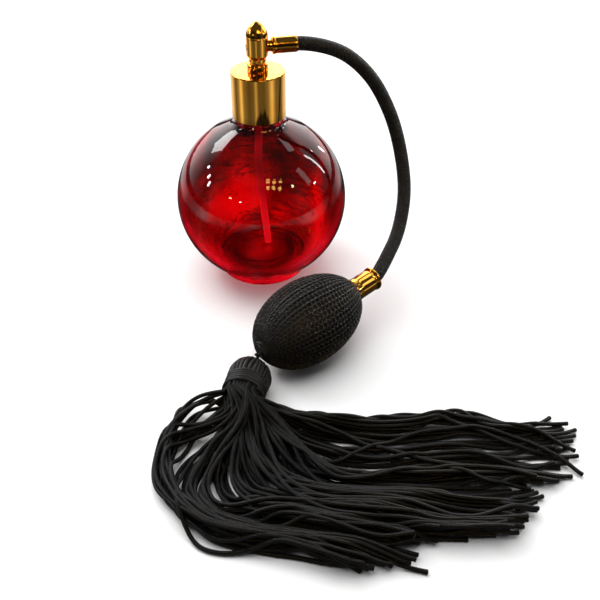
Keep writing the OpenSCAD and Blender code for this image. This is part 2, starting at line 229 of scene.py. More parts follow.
def tube(C, radius, sides=10, tips=True, swell=0.0):
    """A round tube along a line, with closed, slightly rounded ends."""
    C = np.asarray(C, float)
    T, N, B = frames(C)
    r = np.full(len(C), float(radius)) if not hasattr(radius, "__len__") else np.array(radius, float)
    if swell:
        s = np.concatenate([[0], np.cumsum(np.linalg.norm(np.diff(C, axis=0), axis=1))])
        r = r * (1 + swell * np.exp(-((s[-1] - s) / 1.1) ** 2))
    if tips:
        C = np.vstack([C[0] - T[0] * r[0] * 0.12, C, C[-1] + T[-1] * r[-1] * 0.22, C[-1] + T[-1] * r[-1] * 0.30])
        T, N, B = (np.vstack([q[:1], q, q[-1:], q[-1:]]) for q in (T, N, B))
        r = np.concatenate([[r[0] * 0.1], r, [r[-1] * 0.86, r[-1] * 0.45]])
    s = np.concatenate([[0], np.cumsum(np.linalg.norm(np.diff(C, axis=0), axis=1))])
    a = np.linspace(0, 2 * math.pi, sides, endpoint=False)
    rings = C[:, None] + r[:, None, None] * (np.cos(a)[None, :, None] * N[:, None] + np.sin(a)[None, :, None] * B[:, None])
    parts = [grid(rings, s)]
    if tips:
        parts.append(fan(rings[0], C[0], flip=True))
        parts.append(fan(rings[-1], C[-1] + T[-1] * r[-1] * 0.05))
    return parts


# ------------------------------------------------------------------ material tools
class Shader:
    """A material's node tree, written as short calls. Numbers are set on the sockets themselves."""

    def __init__(self, name):
        self.mat = bpy.data.materials.new(name)
        self.mat.use_nodes = True
        self.nt = self.mat.node_tree
        self.nt.nodes.clear()
        self.out = self.nt.nodes.new("ShaderNodeOutputMaterial")

    def add(self, kind, **sockets):
        n = self.nt.nodes.new("ShaderNode" + kind)
        for key, value in sockets.items():
            key = key.replace("_", " ") if key not in n.inputs and key.replace("_", " ") in n.inputs else key
            if key in n.inputs:
                self.set(n.inputs[key], value)
            else:
                setattr(n, key, value)
        return n

    def set(self, socket, value):
        if isinstance(value, bpy.types.NodeSocket):
            self.nt.links.new(value, socket)
        else:
            socket.default_value = value

    def math(self, op, a, b=0.0, c=None):
        n = self.nt.nodes.new("ShaderNodeMath")
        n.operation = op
        self.set(n.inputs[0], a)
        self.set(n.inputs[1], b)
        if c is not None:
            self.set(n.inputs[2], c)
        return n.outputs[0]

    def ramp(self, fac, stops):
        n = self.nt.nodes.new("ShaderNodeValToRGB")
        self.set(n.inputs[0], fac)
        e = n.color_ramp.elements
        while len(e) < len(stops):
            e.new(0.5)
        for k, (pos, col) in enumerate(stops):
            e[k].position = pos
            e[k].color = (*col, 1.0) if hasattr(col, "__len__") else (col, col, col, 1.0)
        return n.outputs[0]

    def noise(self, scale, detail=3.0, rough=0.5, vector=None, distortion=0.0):
        n = self.add("TexNoise", Scale=scale, Detail=detail, Roughness=rough, Distortion=distortion)
        if vector is not None:
            self.set(n.inputs["Vector"], vector)
        return n.outputs[0]

    def coords(self, kind="Object"):
        return self.add("TexCoord").outputs[kind]

    def stretch(self, vector, scale):
        n = self.add("Mapping")
        self.set(n.inputs["Vector"], vector)
        n.inputs["Scale"].default_value = scale
        return n.outputs[0]

    def xyz(self, vector):
        n = self.add("SeparateXYZ")
        self.set(n.inputs[0], vector)
        return n.outputs

    def bump(self, height, strength, distance, normal=None):
        n = self.add("Bump")
        n.inputs["Strength"].default_value = strength
        n.inputs["Distance"].default_value = distance
        self.set(n.inputs["Height"], height)
        if normal is not None:
            self.set(n.inputs["Normal"], normal)
        return n.outputs[0]

    def finish(self, shader):
        self.nt.links.new(shader, self.out.inputs["Surface"])
        return self.mat


def gold_material(name, base, dark, rough_lo, rough_hi, brushed):
    """Polished, gold-toned metal: fine turning lines or polishing marks, faint haze, a slightly deeper tone in patches."""
    s = Shader(name)
    co = s.coords()
    patch = s.noise(140.0, 3.0, 0.5, co)
    tone = s.ramp(patch, [(0.30, dark), (0.70, base)])
    haze = s.noise(900.0, 4.0, 0.6, s.stretch(co, brushed))
    rough = s.add("MapRange", Value=haze)
    rough.inputs["To Min"].default_value, rough.inputs["To Max"].default_value = rough_lo, rough_hi
    wave = s.noise(60.0, 1.0, 0.4, co)
    n = s.bump(haze, 0.12, 0.00002, s.bump(wave, 0.25, 0.00008))
    b = s.add("BsdfPrincipled", Metallic=1.0)
    s.set(b.inputs["Base Color"], tone)
    s.set(b.inputs["Roughness"], rough.outputs[0])
    s.set(b.inputs["Normal"], n)
    return s.finish(b.outputs[0])


def yarn_material(name, lo, hi, rough, twist_u, twist_v, bump_distance, sheen=0.25, spec=0.5):
    """Black yarn or cord from its UVs: u goes round it and v runs along it in millimetres. A plait of fine strands, with stray fibres."""
    s = Shader(name)
    uv = s.xyz(s.coords("UV"))
    u = s.math("MULTIPLY", uv[0], 2 * math.pi * twist_u)
    v = s.math("MULTIPLY", uv[1], 2 * math.pi / twist_v)
    a = s.math("SINE", s.math("ADD", u, v))
    b2 = s.math("SINE", s.math("SUBTRACT", u, v))
    plait = s.math("MULTIPLY_ADD", s.math("MULTIPLY", a, b2), 0.5, 0.5)
    fibre = s.noise(2600.0, 3.0, 0.65, s.coords())
    patch = s.noise(180.0, 2.0, 0.5, s.coords())
    # partly painted shade: the tone follows the plait, darker in its grooves; the fibre and patch noise add random tone
    tone_with_groove_shade = s.math("MULTIPLY_ADD", plait, 0.45, s.math("MULTIPLY", fibre, 0.35))
    tone_with_groove_shade = s.math("MULTIPLY_ADD", patch, 0.35, tone_with_groove_shade)
    tone = s.ramp(tone_with_groove_shade, [(0.15, lo), (0.85, hi)])
    height = s.math("MULTIPLY_ADD", fibre, 0.35, plait)
    n = s.bump(height, 1.0, bump_distance)
    r = s.add("MapRange", Value=fibre)
    r.inputs["To Min"].default_value, r.inputs["To Max"].default_value = rough - 0.08, rough + 0.12
    b = s.add("BsdfPrincipled")
    b.inputs["Sheen Weight"].default_value = sheen
    b.inputs["Sheen Roughness"].default_value = 0.4
    b.inputs["Specular IOR Level"].default_value = spec
    s.set(b.inputs["Base Color"], tone)
    s.set(b.inputs["Roughness"], r.outputs[0])
    s.set(b.inputs["Normal"], n)
    return s.finish(b.outputs[0])


def moulded_material(name, base, dark, rough, scale=400.0, metallic=0.0, transmission=0.0, ior=1.5, bump=0.00002):
    """Moulded plastic, rubber or plain turned metal: a fine grain, mottled tone and uneven gloss."""
    s = Shader(name)
    co = s.coords()
    grain = s.noise(scale, 5.0, 0.6, co)
    tone = s.ramp(grain, [(0.30, dark), (0.70, base)])
    r = s.add("MapRange", Value=grain)
    r.inputs["To Min"].default_value, r.inputs["To Max"].default_value = max(0.02, rough - 0.07), rough + 0.07
    b = s.add("BsdfPrincipled", Metallic=metallic)
    b.inputs["Transmission Weight"].default_value = transmission
    b.inputs["IOR"].default_value = ior
    s.set(b.inputs["Base Color"], tone)
    s.set(b.inputs["Roughness"], r.outputs[0])
    s.set(b.inputs["Normal"], s.bump(grain, 0.5, bump))
    return s.finish(b.outputs[0])


def glass_material():
    """Clear glass dyed red, with a light volume absorption that darkens thick parts a little. The base colour carries
    the red, and also painted shade and painted light: darker patches, a ring and lines, a brighter foot and a darker
    top. Faint ripples of the mould.
    """
    s = Shader("red_glass_painted_shade")
    co = s.coords()
    slow = s.noise(30.0, 2.0, 0.4, s.stretch(co, (1.0, 1.0, 1.6)), 0.4)
    streak = s.noise(62.0, 3.0, 0.55, s.stretch(co, (0.45, 0.45, 4.2)), 0.6)
    fine = s.noise(170.0, 2.0, 0.5, co)
    n = s.bump(fine, 0.25, 0.00005, s.bump(streak, 0.5, 0.00010, s.bump(slow, 0.6, 0.0009)))
    b = s.add("BsdfPrincipled")
    swirl = s.noise(17.0, 2.0, 0.5, s.stretch(co, (1.0, 1.0, 1.5)), 1.6)
    dye = s.ramp(swirl, [(0.40, (0.16, 0.0008, 0.003)), (0.49, (0.31, 0.002, 0.008)), (0.57, (0.60, 0.006, 0.018))])
    # painted shade: thin wavy lines of deeper colour lying level, standing in for the streaks that refraction shows
    painted_line_noise = s.noise(40.0, 2.5, 0.5, s.stretch(co, (0.55, 0.55, 3.6)), 0.8)
    line = s.ramp(s.math("ABSOLUTE", s.math("SUBTRACT", painted_line_noise, 0.5)), [(0.0, (0.20, 0.20, 0.20)), (0.012, (0.45, 0.45, 0.45)), (0.026, (1, 1, 1))])
    x, y, z = s.xyz(co)
    far_out = s.math("SQRT", s.math("ADD", s.math("POWER", x, 2.0), s.math("POWER", y, 2.0)))
    # painted shade: a darker patch on the shoulder, a dark ring round the inner floor, and dark lines at the steps of
    # the foot
    off = s.math("ADD", s.math("POWER", s.math("ADD", x, 0.010), 2.0), s.math("POWER", s.math("ADD", y, 0.004), 2.0))
    off = s.math("SQRT", s.math("ADD", off, s.math("POWER", s.math("ADD", z, -0.066), 2.0)))
    off = s.math("MULTIPLY_ADD", s.math("SUBTRACT", swirl, 0.5), 0.03, off)
    painted_shoulder_shade = s.ramp(s.math("MULTIPLY", off, 30.0), [(0.30, (0.38, 0.38, 0.38)), (0.42, (1, 1, 1))])
    low = s.ramp(s.math("MULTIPLY", z, 30.0), [(0.30, (1, 1, 1)), (0.40, (0, 0, 0))])
    wobble = s.math("MULTIPLY_ADD", s.math("SUBTRACT", swirl, 0.5), 0.004, far_out)
    # painted shade: a dark ring round the inner floor, low in the foot only
    ring = s.ramp(s.math("MULTIPLY", wobble, 40.0), [(0.42, (0, 0, 0)), (0.47, (0.85, 0.85, 0.85)), (0.55, (0.85, 0.85, 0.85)), (0.60, (0, 0, 0))])
    # painted shade: dark level lines at the steps of the foot
    steps = s.math("POWER", s.math("ABSOLUTE", s.math("SINE", s.math("MULTIPLY_ADD", s.math("SUBTRACT", swirl, 0.5), 0.9, s.math("MULTIPLY", z, math.pi / 0.0034)))), 0.45)
    painted_light_and_shade = s.math("SUBTRACT", 1.0, s.math("MULTIPLY", low, ring))
    painted_light_and_shade = s.math("MULTIPLY", painted_light_and_shade, s.math("SUBTRACT", 1.0, s.math("MULTIPLY", low, s.math("MULTIPLY", s.math("SUBTRACT", 1.0, steps), 0.92))))
    # the painted shade lines are in the far wall only
    far_wall = s.ramp(s.math("MULTIPLY_ADD", y, 20.0, 0.5), [(0.45, (0, 0, 0)), (0.60, (1, 1, 1))])
    line = s.math("SUBTRACT", 1.0, s.math("MULTIPLY", far_wall, s.math("SUBTRACT", 1.0, line)))
    painted_light_and_shade = s.math("MULTIPLY", painted_light_and_shade, s.math("MULTIPLY", line, painted_shoulder_shade))
    # painted light and shade by height: the foot is made brighter and the top darker
    painted_light_by_height = s.ramp(s.math("MULTIPLY", z, 10.0), [(0.16, (3.6, 3.6, 3.6)), (0.34, (1.0, 1.0, 1.0)), (0.46, (1.0, 1.0, 1.0)), (0.60, (0.62, 0.62, 0.62))])
    painted_light_and_shade = s.math("MULTIPLY", painted_light_and_shade, painted_light_by_height)
    # the dye multiplied by all the painted shade and painted light above
    dye_with_painted_light = s.add("Mix")
    dye_with_painted_light.data_type, dye_with_painted_light.blend_type, dye_with_painted_light.clamp_result = "RGBA", "MULTIPLY", True
    dye_with_painted_light.inputs[0].default_value = 1.0
    s.set(dye_with_painted_light.inputs[6], dye)
    s.set(dye_with_painted_light.inputs[7], painted_light_and_shade)
    s.set(b.inputs["Base Color"], dye_with_painted_light.outputs[2])
    b.inputs["Transmission Weight"].default_value = 1.0
    b.inputs["IOR"].default_value = 1.5
    b.inputs["Specular IOR Level"].default_value = 0.10
    r = s.add("MapRange", Value=fine)
    r.inputs["To Min"].default_value, r.inputs["To Max"].default_value = 0.0, 0.012
    s.set(b.inputs["Roughness"], r.outputs[0])
    s.set(b.inputs["Normal"], n)
    clear = s.add("BsdfTransparent")
    clear.inputs["Color"].default_value = (0.80, 0.78, 0.78, 1.0)
    path = s.add("LightPath")
    mix = s.add("MixShader")
    s.set(mix.inputs[0], path.outputs["Is Shadow Ray"])
    s.set(mix.inputs[1], b.outputs[0])
    s.set(mix.inputs[2], clear.outputs[0])
    absorb = s.nt.nodes.new("ShaderNodeVolumeAbsorption")
    absorb.inputs["Color"].default_value = GLASS_TINT
    absorb.inputs["Density"].default_value = GLASS_DENSITY
    s.nt.links.new(absorb.outputs[0], s.out.inputs["Volume"])
    return s.finish(mix.outputs[0])


GLASS_TINT = (0.909, 0.014, 0.138, 1.0)
GLASS_DENSITY = 18.0

mat_glass = glass_material()
mat_gold = gold_material("gold_plate", (0.97, 0.50, 0.085), (0.92, 0.43, 0.06), 0.04, 0.10, (1.0, 1.0, 6.0))
mat_gold_soft = gold_material("gold_plate_satin", (0.86, 0.52, 0.13), (0.78, 0.44, 0.10), 0.10, 0.22, (1.0, 1.0, 6.0))
mat_brass = gold_material("plain_brass", (0.78, 0.56, 0.26), (0.66, 0.44, 0.18), 0.18, 0.34, (1.0, 1.0, 8.0))
mat_steel = gold_material("steel", (0.62, 0.62, 0.63), (0.52, 0.52, 0.53), 0.12, 0.24, (4.0, 1.0, 1.0))
mat_liner = moulded_material("liner_plastic", (0.72, 0.71, 0.68), (0.60, 0.59, 0.56), 0.42)
mat_gasket = moulded_material("gasket_foam", (0.80, 0.79, 0.76), (0.62, 0.61, 0.58), 0.68, 900.0, bump=0.00006)
mat_seal = moulded_material("seal_rubber", (0.030, 0.030, 0.030), (0.016, 0.016, 0.016), 0.55)
mat_valve = moulded_material("valve_plastic", (0.70, 0.70, 0.69), (0.58, 0.58, 0.57), 0.38)
mat_dip_painted_glow = moulded_material("tube_plastic_painted_glow", (0.95, 0.93, 0.93), (0.88, 0.85, 0.85), 0.30, 700.0, transmission=0.0, ior=1.49)
# painted light: the tube glows faintly, so that it reads brighter than the red glass round it
for n_ in mat_dip_painted_glow.node_tree.nodes:
    if n_.type == "BSDF_PRINCIPLED":
        n_.inputs["Emission Color"].default_value = (1.0, 0.62, 0.50, 1.0)
        n_.inputs["Emission Strength"].default_value = 0.9
mat_rubber = moulded_material("black_rubber", (0.008, 0.008, 0.008), (0.004, 0.004, 0.004), 0.55)
mat_wood = moulded_material("turned_wood", (0.34, 0.20, 0.10), (0.20, 0.11, 0.05), 0.6, 260.0, bump=0.00008)
mat_cord = yarn_material("tassel_cord", (0.0005, 0.0005, 0.0005), (0.0036, 0.0036, 0.0036), 0.40, 4, 1.1, 0.00012, 0.01, 0.22)
mat_wrap = yarn_material("tassel_wrap", (0.0015, 0.0015, 0.0015), (0.010, 0.0096, 0.0092), 0.44, 4, 1.5, 0.00007, 0.04, 0.38)
mat_knit = yarn_material("knit_yarn", (0.0006, 0.0006, 0.0006), (0.006, 0.0059, 0.0058), 0.33, 2, 1.0, 0.00004, 0.01, 0.85)
mat_braid = yarn_material("braid_yarn", (0.0005, 0.0005, 0.0005), (0.004, 0.004, 0.004), 0.24, 2, 1.2, 0.00003, 0.01, 0.55)


def place(ob, mat, body, nodes=()):
    ob.data.materials.append(mat)
    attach(ob, body)
    if nodes:
        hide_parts(*nodes)
    return ob


def paint(node, mat):
    """A CAD node whose shape is right keeps it, and gets the better material."""
    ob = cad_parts[node]
    if not ob.material_slots:
        ob.data.materials.append(mat)
    for ms in ob.material_slots:
        ms.material = mat


# ------------------------------------------------------------------ tassel cords
BAND_END = vec(-4.3, -94.95, 8.1)           # centre of the band's lower end
OUT = vec(-0.2215, -0.9751, 0.0)            # the tassel's own axis, towards its tips
ACROSS = vec(0.9751, -0.2215, 0.0)          # to the right, seen from the camera
CORD_R = 0.725

# Each cord that shows: the height and sideways place where it leaves the band, then its route over the table.
ROUTES = {
    "A1": (5, -6, [(-21.5, -93.5), (-24.5, -95.5), (-26, -98.5), (-26.5, -102), (-27, -106.5), (-27.5, -113.5), (-27, -119.5), (-25.5, -126), (-22.5, -133.5), (-17.5, -140.5), (-11, -146), (-2, -149), (8.5, -151.5), (19, -154), (28, -157.5), (34.5, -161.5)]),
    "A2": (7, -5.5, [(-11, -94.5), (-15, -96.5), (-19, -97), (-22, -99), (-25.5, -102.5), (-26.5, -107), (-28, -113.5), (-28.5, -119.5), (-26.5, -126), (-23.5, -133.5), (-19, -139), (-13, -143.5), (-4.5, -146.5), (4.5, -148), (16, -149.5), (28, -152.5), (38.5, -156.5), (43, -160)]),
    "A3": (12, 0, [(-6.5, -101), (-8.5, -103), (-14, -105.5), (-18, -106), (-24, -106), (-28, -108), (-31, -113.5), (-32, -120), (-31.5, -126), (-29, -133), (-24.5, -138), (-21, -142.5), (-16.5, -146.5), (-11, -150.5), (-3.5, -152.5), (7, -153), (17.5, -155.5), (26, -159.5), (30, -161.5)]),
    "A4": (12, 0.5, [(-5.5, -102), (-9, -105), (-13, -106.5), (-16.5, -107.5), (-20.5, -108), (-26.5, -111), (-30, -116.5), (-31, -123), (-30, -128.5), (-26, -135.5), (-22, -140.5), (-17.5, -144.5), (-12, -148), (-4.5, -150.5), (4.5, -152), (16, -153.5), (28, -154.5), (40, -157), (48.5, -159.5)]),
    "A5": (13, 1, [(-5, -102.5), (-7, -105.5), (-11, -108.5), (-15, -109.5), (-22, -111.5), (-27, -116), (-28.5, -123), (-27.5, -128.5), (-24.5, -135), (-21, -140.5), (-15.5, -145), (-9.5, -148), (-2, -149.5), (7, -150.5), (17.5, -152), (29.5, -153.5), (41.5, -156), (50, -159)]),
    "A6": (14, 2, [(-4, -103.5), (-6.5, -108), (-8, -110.5), (-12, -112.5), (-17.5, -116), (-20.5, -120.5), (-22, -125), (-22.5, -130), (-22.5, -137), (-21, -142.5), (-18, -148), (-14, -152.5), (-7.5, -154.5), (-1, -154.5), (5, -154.5), (10.5, -154.5), (18, -157), (26, -160), (30, -161.5)]),
    "A7": (14, 2, [(-3.5, -104), (-5.5, -107.5), (-8, -110), (-13, -115), (-16, -122), (-18.5, -127.5), (-19, -131.5), (-16, -138.5), (-12.5, -143.5), (-8, -147), (-2.5, -150), (3, -150.5), (10, -148), (16.5, -146), (25, -145.5), (37.5, -146.5), (49.5, -148.5), (57.5, -150)]),
    "A8": (14.5, 2, [(-3, -104), (-4.5, -108.5), (-7, -112), (-11, -116.5), (-13.5, -121.5), (-15.5, -128.5), (-15.5, -134.5), (-13, -140), (-9.5, -144), (-4.5, -146), (2, -145.5), (8, -144), (16, -145), (23.5, -147), (31, -150), (40, -152.5), (50, -152)]),
    "A9": (14.7, 1.5, [(-2, -105), (-4.5, -110), (-7.5, -114), (-11.5, -120), (-13.5, -125.5), (-15, -131), (-13.5, -136), (-10.5, -140), (-6, -142), (0, -143), (7, -142.5), (16, -142.5), (21.5, -144.5), (28, -145.5), (37.5, -146), (46.5, -147.5), (55.5, -148.5), (64.5, -149.5), (73.5, -149.5), (80, -149.5)]),
    "B1": (14.5, 2, [(-1.5, -105.5), (-3, -110), (-6.5, -115.5), (-10.5, -122), (-13, -128), (-13, -133), (-10, -138), (-4.5, -139.5), (1.5, -139.5), (8, -139), (19, -140), (27, -140), (33, -140), (40, -140.5), (46, -142.5), (51.5, -144.5), (58, -147), (68, -147), (77.5, -146.5), (85, -146)]),
    "B2": (15, 1, [(0, -103.5), (1, -107), (1.5, -111), (2.5, -116.5), (5, -122.5), (8.5, -129), (11.5, -134), (15, -138), (20.5, -141.5), (26.5, -144), (33, -145), (40, -145), (45.5, -145.5), (51, -147), (58.5, -148.5), (69, -148.5), (80, -150)]),
    "B3": (15, 1, [(0.5, -100.5), (1.5, -104), (3.5, -109), (5, -114.5), (7, -120), (9, -126), (12.5, -131.5), (18, -136), (22, -138), (29.5, -139), (37, -139), (44.5, -139.5), (50, -140), (55.5, -142), (59, -143.5), (63.5, -146), (70, -146), (75.5, -144), (83, -140.5), (90, -140.5)]),
    "B4": (14.5, 2, [(1, -100.5), (3.5, -104.5), (6, -107), (8.5, -109.5), (11.5, -112), (13.5, -115.5), (17.5, -124.5), (21, -129), (24.5, -132.5), (29.5, -135), (39, -136), (50.5, -136), (56, -136), (63.5, -137), (73.5, -137.5), (78.5, -137.5), (85.5, -135.5), (91.5, -133)]),
    "B5": (14, 3.5, [(1.5, -100.5), (4, -103.5), (7, -106), (10.5, -109), (13.5, -113), (19.5, -122), (23, -126.5), (27.5, -130), (32.5, -131), (37.5, -130.5), (47.5, -127), (51.5, -125.5), (61.5, -124.5), (70.5, -124), (79, -125), (87, -127.5), (91.5, -129)]),
    "B6": (13, 4.5, [(1.5, -99.5), (5, -103.5), (9.5, -107), (13.5, -113.5), (17.5, -119), (21.5, -123), (26, -126), (30, -126.5), (35.5, -126.5), (41.5, -125), (51.5, -123), (57.5, -123.5), (66.5, -125.5), (75.5, -129.5), (83.5, -130.5), (89.5, -131.5)]),
    "C1": (12, 5.5, [(2, -99), (5, -102), (10, -108.5), (16, -115), (23.5, -119.5), (27.5, -119.5), (31.5, -118.5), (38.5, -114.5), (46.5, -111), (57.5, -107), (69.5, -105.5), (80, -106), (85.5, -107.5), (95, -113), (104.5, -120), (108.5, -124)]),
    "C2": (11, 6, [(2.5, -98), (6, -101.5), (10, -105), (14, -108), (22.5, -111.5), (31, -116.5), (41, -119), (52.5, -117.5), (63, -115.5), (73, -116), (82, -119.5), (91.5, -122.5), (99.5, -120.5)]),
    "C3": (10, 6.5, [(2.5, -97.5), (6, -100.5), (11, -102.5), (16, -104.5), (22.5, -105.5), (32, -109.5), (41, -113.5), (54, -118), (62, -120.5), (72, -121.5), (81.5, -123.5), (91, -124), (99.5, -124.5), (105, -124.5)]),
    "C4": (9, 6.5, [(5.5, -99.5), (9, -102), (14, -102.5), (20.5, -102), (26.5, -101.5), (37.5, -100.5), (50, -99.5), (65, -98.5), (78.5, -101), (91.5, -105.5), (99.5, -109), (108.5, -114)]),
    "C5": (8, 6.5, [(5.5, -98.5), (9.5, -101.5), (16, -102.5), (30, -103), (40, -102), (45, -100), (48, -97.5), (51.5, -96), (55, -96), (61, -98), (67, -101.5), (76, -106), (85, -111), (94.5, -115), (103, -117), (109, -116)]),
    "C6": (6, 6.5, [(12.5, -101), (26.5, -103.5), (40, -103.5), (54, -102), (63.5, -100), (66, -98), (68.5, -96), (73, -96.5), (77, -100.5), (81.5, -104), (91.5, -106), (100.5, -108), (111.5, -103.5)]),
    "C7": (5, 6, [(7.5, -98.5), (16, -102.5), (30, -104.5), (43.5, -104.5), (57.5, -102.5), (68, -99.5), (74, -96.5), (82, -98), (87.5, -101.5), (92.5, -102), (101.5, -102), (109, -101.5)]),
    "C8": (4, 5.5, [(7.5, -98), (18, -103), (31.5, -104.5), (45.5, -104.5), (57.5, -104), (71, -104.5), (81.5, -105.5), (92, -104.5), (98.5, -101.5), (104, -97.5)]),
    "C9": (4, 5.5, [(7.5, -99.5), (19.5, -106), (33, -109), (46.5, -110), (60.5, -108), (74, -107), (87.5, -109.5), (99.5, -109), (110.5, -106.5)]),
    "C10": (4, 5.5, [(6.5, -101.5), (18, -109.5), (31, -113.5), (46, -114.5), (60, -112), (73.5, -111), (87, -112.5), (99.5, -110.5), (109, -109)]),
    "C11": (4, 5.5, [(5.5, -103.5), (16, -113), (29.5, -119), (44, -120), (59.5, -117.5), (72.5, -117), (86, -117.5), (96.5, -116), (105.5, -117.5)]),
    "B7": (5, 5.5, [(4.5, -105), (12.5, -115.5), (24, -123), (38.5, -127.5), (55, -126.5), (71, -126.5), (86, -126.5), (96, -126), (102, -126)]),
    "B8": (5, 5, [(3, -105), (9.5, -117.5), (20, -127.5), (33.5, -131.5), (49.5, -131), (66, -130), (80.5, -129.5), (90.5, -128), (99, -128)]),
    "B9": (5, 4, [(1, -104.5), (4.5, -115), (11, -126.5), (21, -133.5), (35, -135.5), (51, -135.5), (64.5, -138.5), (77, -139.5), (85.5, -136.5), (93.5, -133)]),
    "B10": (6, 3.5, [(-1, -105), (0, -115), (3.5, -126), (11.5, -135), (22.5, -140.5), (36, -142.5), (50, -144), (63.5, -147), (74, -147.5), (85, -146.5)]),
    "A10": (5, 1, [(-3.5, -102), (-7, -110.5), (-9.5, -119), (-11, -127.5), (-8.5, -134.5), (-1, -140.5), (10, -144), (22, -147.5), (34.5, -149), (46.5, -150), (57.5, -151)]),
    "A11": (5, 0, [(-10.5, -108.5), (-15.5, -116.5), (-19, -125.5), (-20, -133.5), (-16.5, -141), (-10, -146.5), (-0.5, -150), (11.5, -152), (25, -153), (38.5, -154), (50, -153)]),
    "A12": (5, -2, [(-14, -103.5), (-20.5, -111), (-24.5, -119), (-25.5, -127.5), (-22.5, -135.5), (-17.5, -142.5), (-10, -148), (1, -151), (14.5, -154.5), (29.5, -158), (43, -160)]),
    "A13": (4, -4, [(-18, -97), (-24.5, -102.5), (-28.5, -110), (-30, -118), (-28.5, -126.5), (-24, -135), (-18, -142.5), (-10.5, -148), (-0.5, -151), (13, -154.5), (26.5, -159), (34.5, -161.5)]),
    "A14": (9, 2, [(-4, -103.5), (-7.5, -109), (-12.5, -116), (-16.5, -124), (-17.5, -132.5), (-14, -140), (-8, -145.5), (1, -149), (13, -151.5), (26.5, -155), (41, -158), (53.5, -161)]),
    "G1": (9, -0.5, [(-2, -97), (-2, -105.5), (-1.5, -114), (1.5, -123), (7, -129.5), (15, -133.5), (25.5, -136), (38, -137.5), (52, -139.5), (64, -141.5), (76, -143.5), (85.5, -144.5)]),
    "G2": (8, 0.5, [(-1, -97), (-1, -105.5), (0.5, -115), (4, -123.5), (9.5, -129), (17, -132.5), (28.5, -134.5), (43, -135.5), (57, -137.5), (70.5, -139.5), (81.5, -140), (90, -139.5)]),
    "G3": (10, -1.5, [(-2.5, -97), (-3.5, -105.5), (-3.5, -115), (-1.5, -124.5), (3.5, -132), (11, -136), (21.5, -138), (32, -140.5), (43.5, -144.5), (54, -148.5), (63, -150), (73, -149)]),
    # low cords that only close the gaps
    "H1": (8, -2.5, [(-4, -97), (-5.5, -105.5), (-6.6, -115), (-6.2, -124.5), (-2.5, -133), (4, -138.5), (13, -142), (25, -145.5), (38, -149), (50, -152)]),
    "H2": (7, -1.0, [(-3, -97), (-4.5, -106), (-4.8, -116), (-3.6, -126), (0.5, -133.2), (7, -137.5), (16, -140.5), (28, -143), (42, -146.5), (55, -149.5)]),
    "H3": (9, -0.2, [(-2, -97), (-2.5, -106), (-2.2, -116), (-0.3, -124.5), (5, -130.5), (12, -134.5), (22, -137), (34, -139), (46, -142), (58, -145)]),

}
# low cords that only close the gaps where the fan turns
for k, x0 in enumerate((-11.6, -10.0, -8.4, -5.2, -2.6, -1.0)):
    ROUTES["H%d" % (k + 4)] = (6.5, -2.5 + 0.5 * k, [(x0 * 0.33 - 2, -97), (x0 * 0.75 - 0.5, -105.5), (x0 * 0.97, -115), (x0, -124.8),
                               (x0 + 4.0 + 0.12 * x0, -132.6), (x0 + 9, -138), (x0 + 17, -142.2), (x0 + 29, -146), (x0 + 42, -149.5), (x0 + 53, -152)])
ROUTES["H10"] = (7.0, 1.5, [(2, -97), (4.5, -105.5), (7, -113), (11, -120.5), (17, -126.5), (26, -130.5), (38, -132.5), (52, -133.5), (66, -136)])
for k in range(2):
    d = 1.3 * k
    ROUTES["H%d" % (11 + k)] = (6.0, 5.0 - d, [(4, -98.5), (9, -101.5 - d), (18, -105 - d), (27, -107 - d), (36.7, -107.6 - d), (50.4, -107 - d),
                                (58.8, -105.6 - d), (67.9, -104.2 - d), (78.4, -103.8 - d), (88.6, -104.8 - d), (98, -107 - d)])
    ROUTES["H%d" % (13 + k)] = (7.0, 4.0 - d, [(2.5, -100), (6, -105), (11, -112), (17, -119), (24, -125 - d), (33, -128.5 - d), (42, -129.5 - d),
                                (50, -130 - d), (58, -130.6 - d), (66, -131.2 - d), (75, -131.2 - d), (84, -130.6 - d)])
ROUTES["H15"] = (6.0, 3.0, [(2, -100), (5.5, -106), (10, -113), (16, -120), (24, -124.5), (33, -127), (43, -127.2), (53, -126.8), (64, -126.6), (76, -127)])
# From left to right as they fan out, for the cords that fill in between.
FAN = ("A3 A4 A5 A13 A2 A1 A12 A6 A11 A14 A7 A8 A10 A9 B1 B10 G3 G1 G2 B2 B9 B3 B4 B8 B7 B5 B6 "
       "C11 C10 C1 C2 C3 C9 C8 C4 C7 C6 C5").split()


def lattice(radius, pitch):
    pts = []
    for row in range(-8, 9):
        for col in range(-9, 10):
            x, y = (col + 0.5 * (row % 2)) * pitch, row * pitch * math.sqrt(3) / 2
            if math.hypot(x, y) <= radius:
                pts.append((x, y))
    return pts


def take(free, side, height):
    """The free place in the band's end nearest to this side and height."""
    best = min(free, key=lambda p: (p[0] - side) ** 2 + 1.3 * (p[1] - (height - BAND_END[2])) ** 2)
    free.remove(best)
    return best


def flat_route(place_xy, route):
    start = BAND_END[:2] + ACROSS[:2] * place_xy[0]
    pts = [start, start + OUT[:2] * 1.6]
    for q in route:
        q = np.array(q, float)
        ahead = (q - BAND_END[:2]) @ OUT[:2]
        if (ahead > 0.3 or np.linalg.norm(q - start) > 14) and np.linalg.norm(q - start) > 6.5:
            pts.append(q)
    C = spline(pts, 1.0)
    for _ in range(7):                       # a limp cord still doesn't turn tighter than two diameters
        C[2:-1] = 0.25 * C[1:-2] + 0.5 * C[2:-1] + 0.25 * C[3:]
    return C


free_places = lattice(6.72, 1.19)
skirt = {}
for key in sorted(ROUTES, key=lambda k: -ROUTES[k][0]):
    height, side, route = ROUTES[key]
    spot = take(free_places, side, height)
    skirt[key] = {"spot": spot, "xy": flat_route(spot, route), "master": key[0] != "H"}

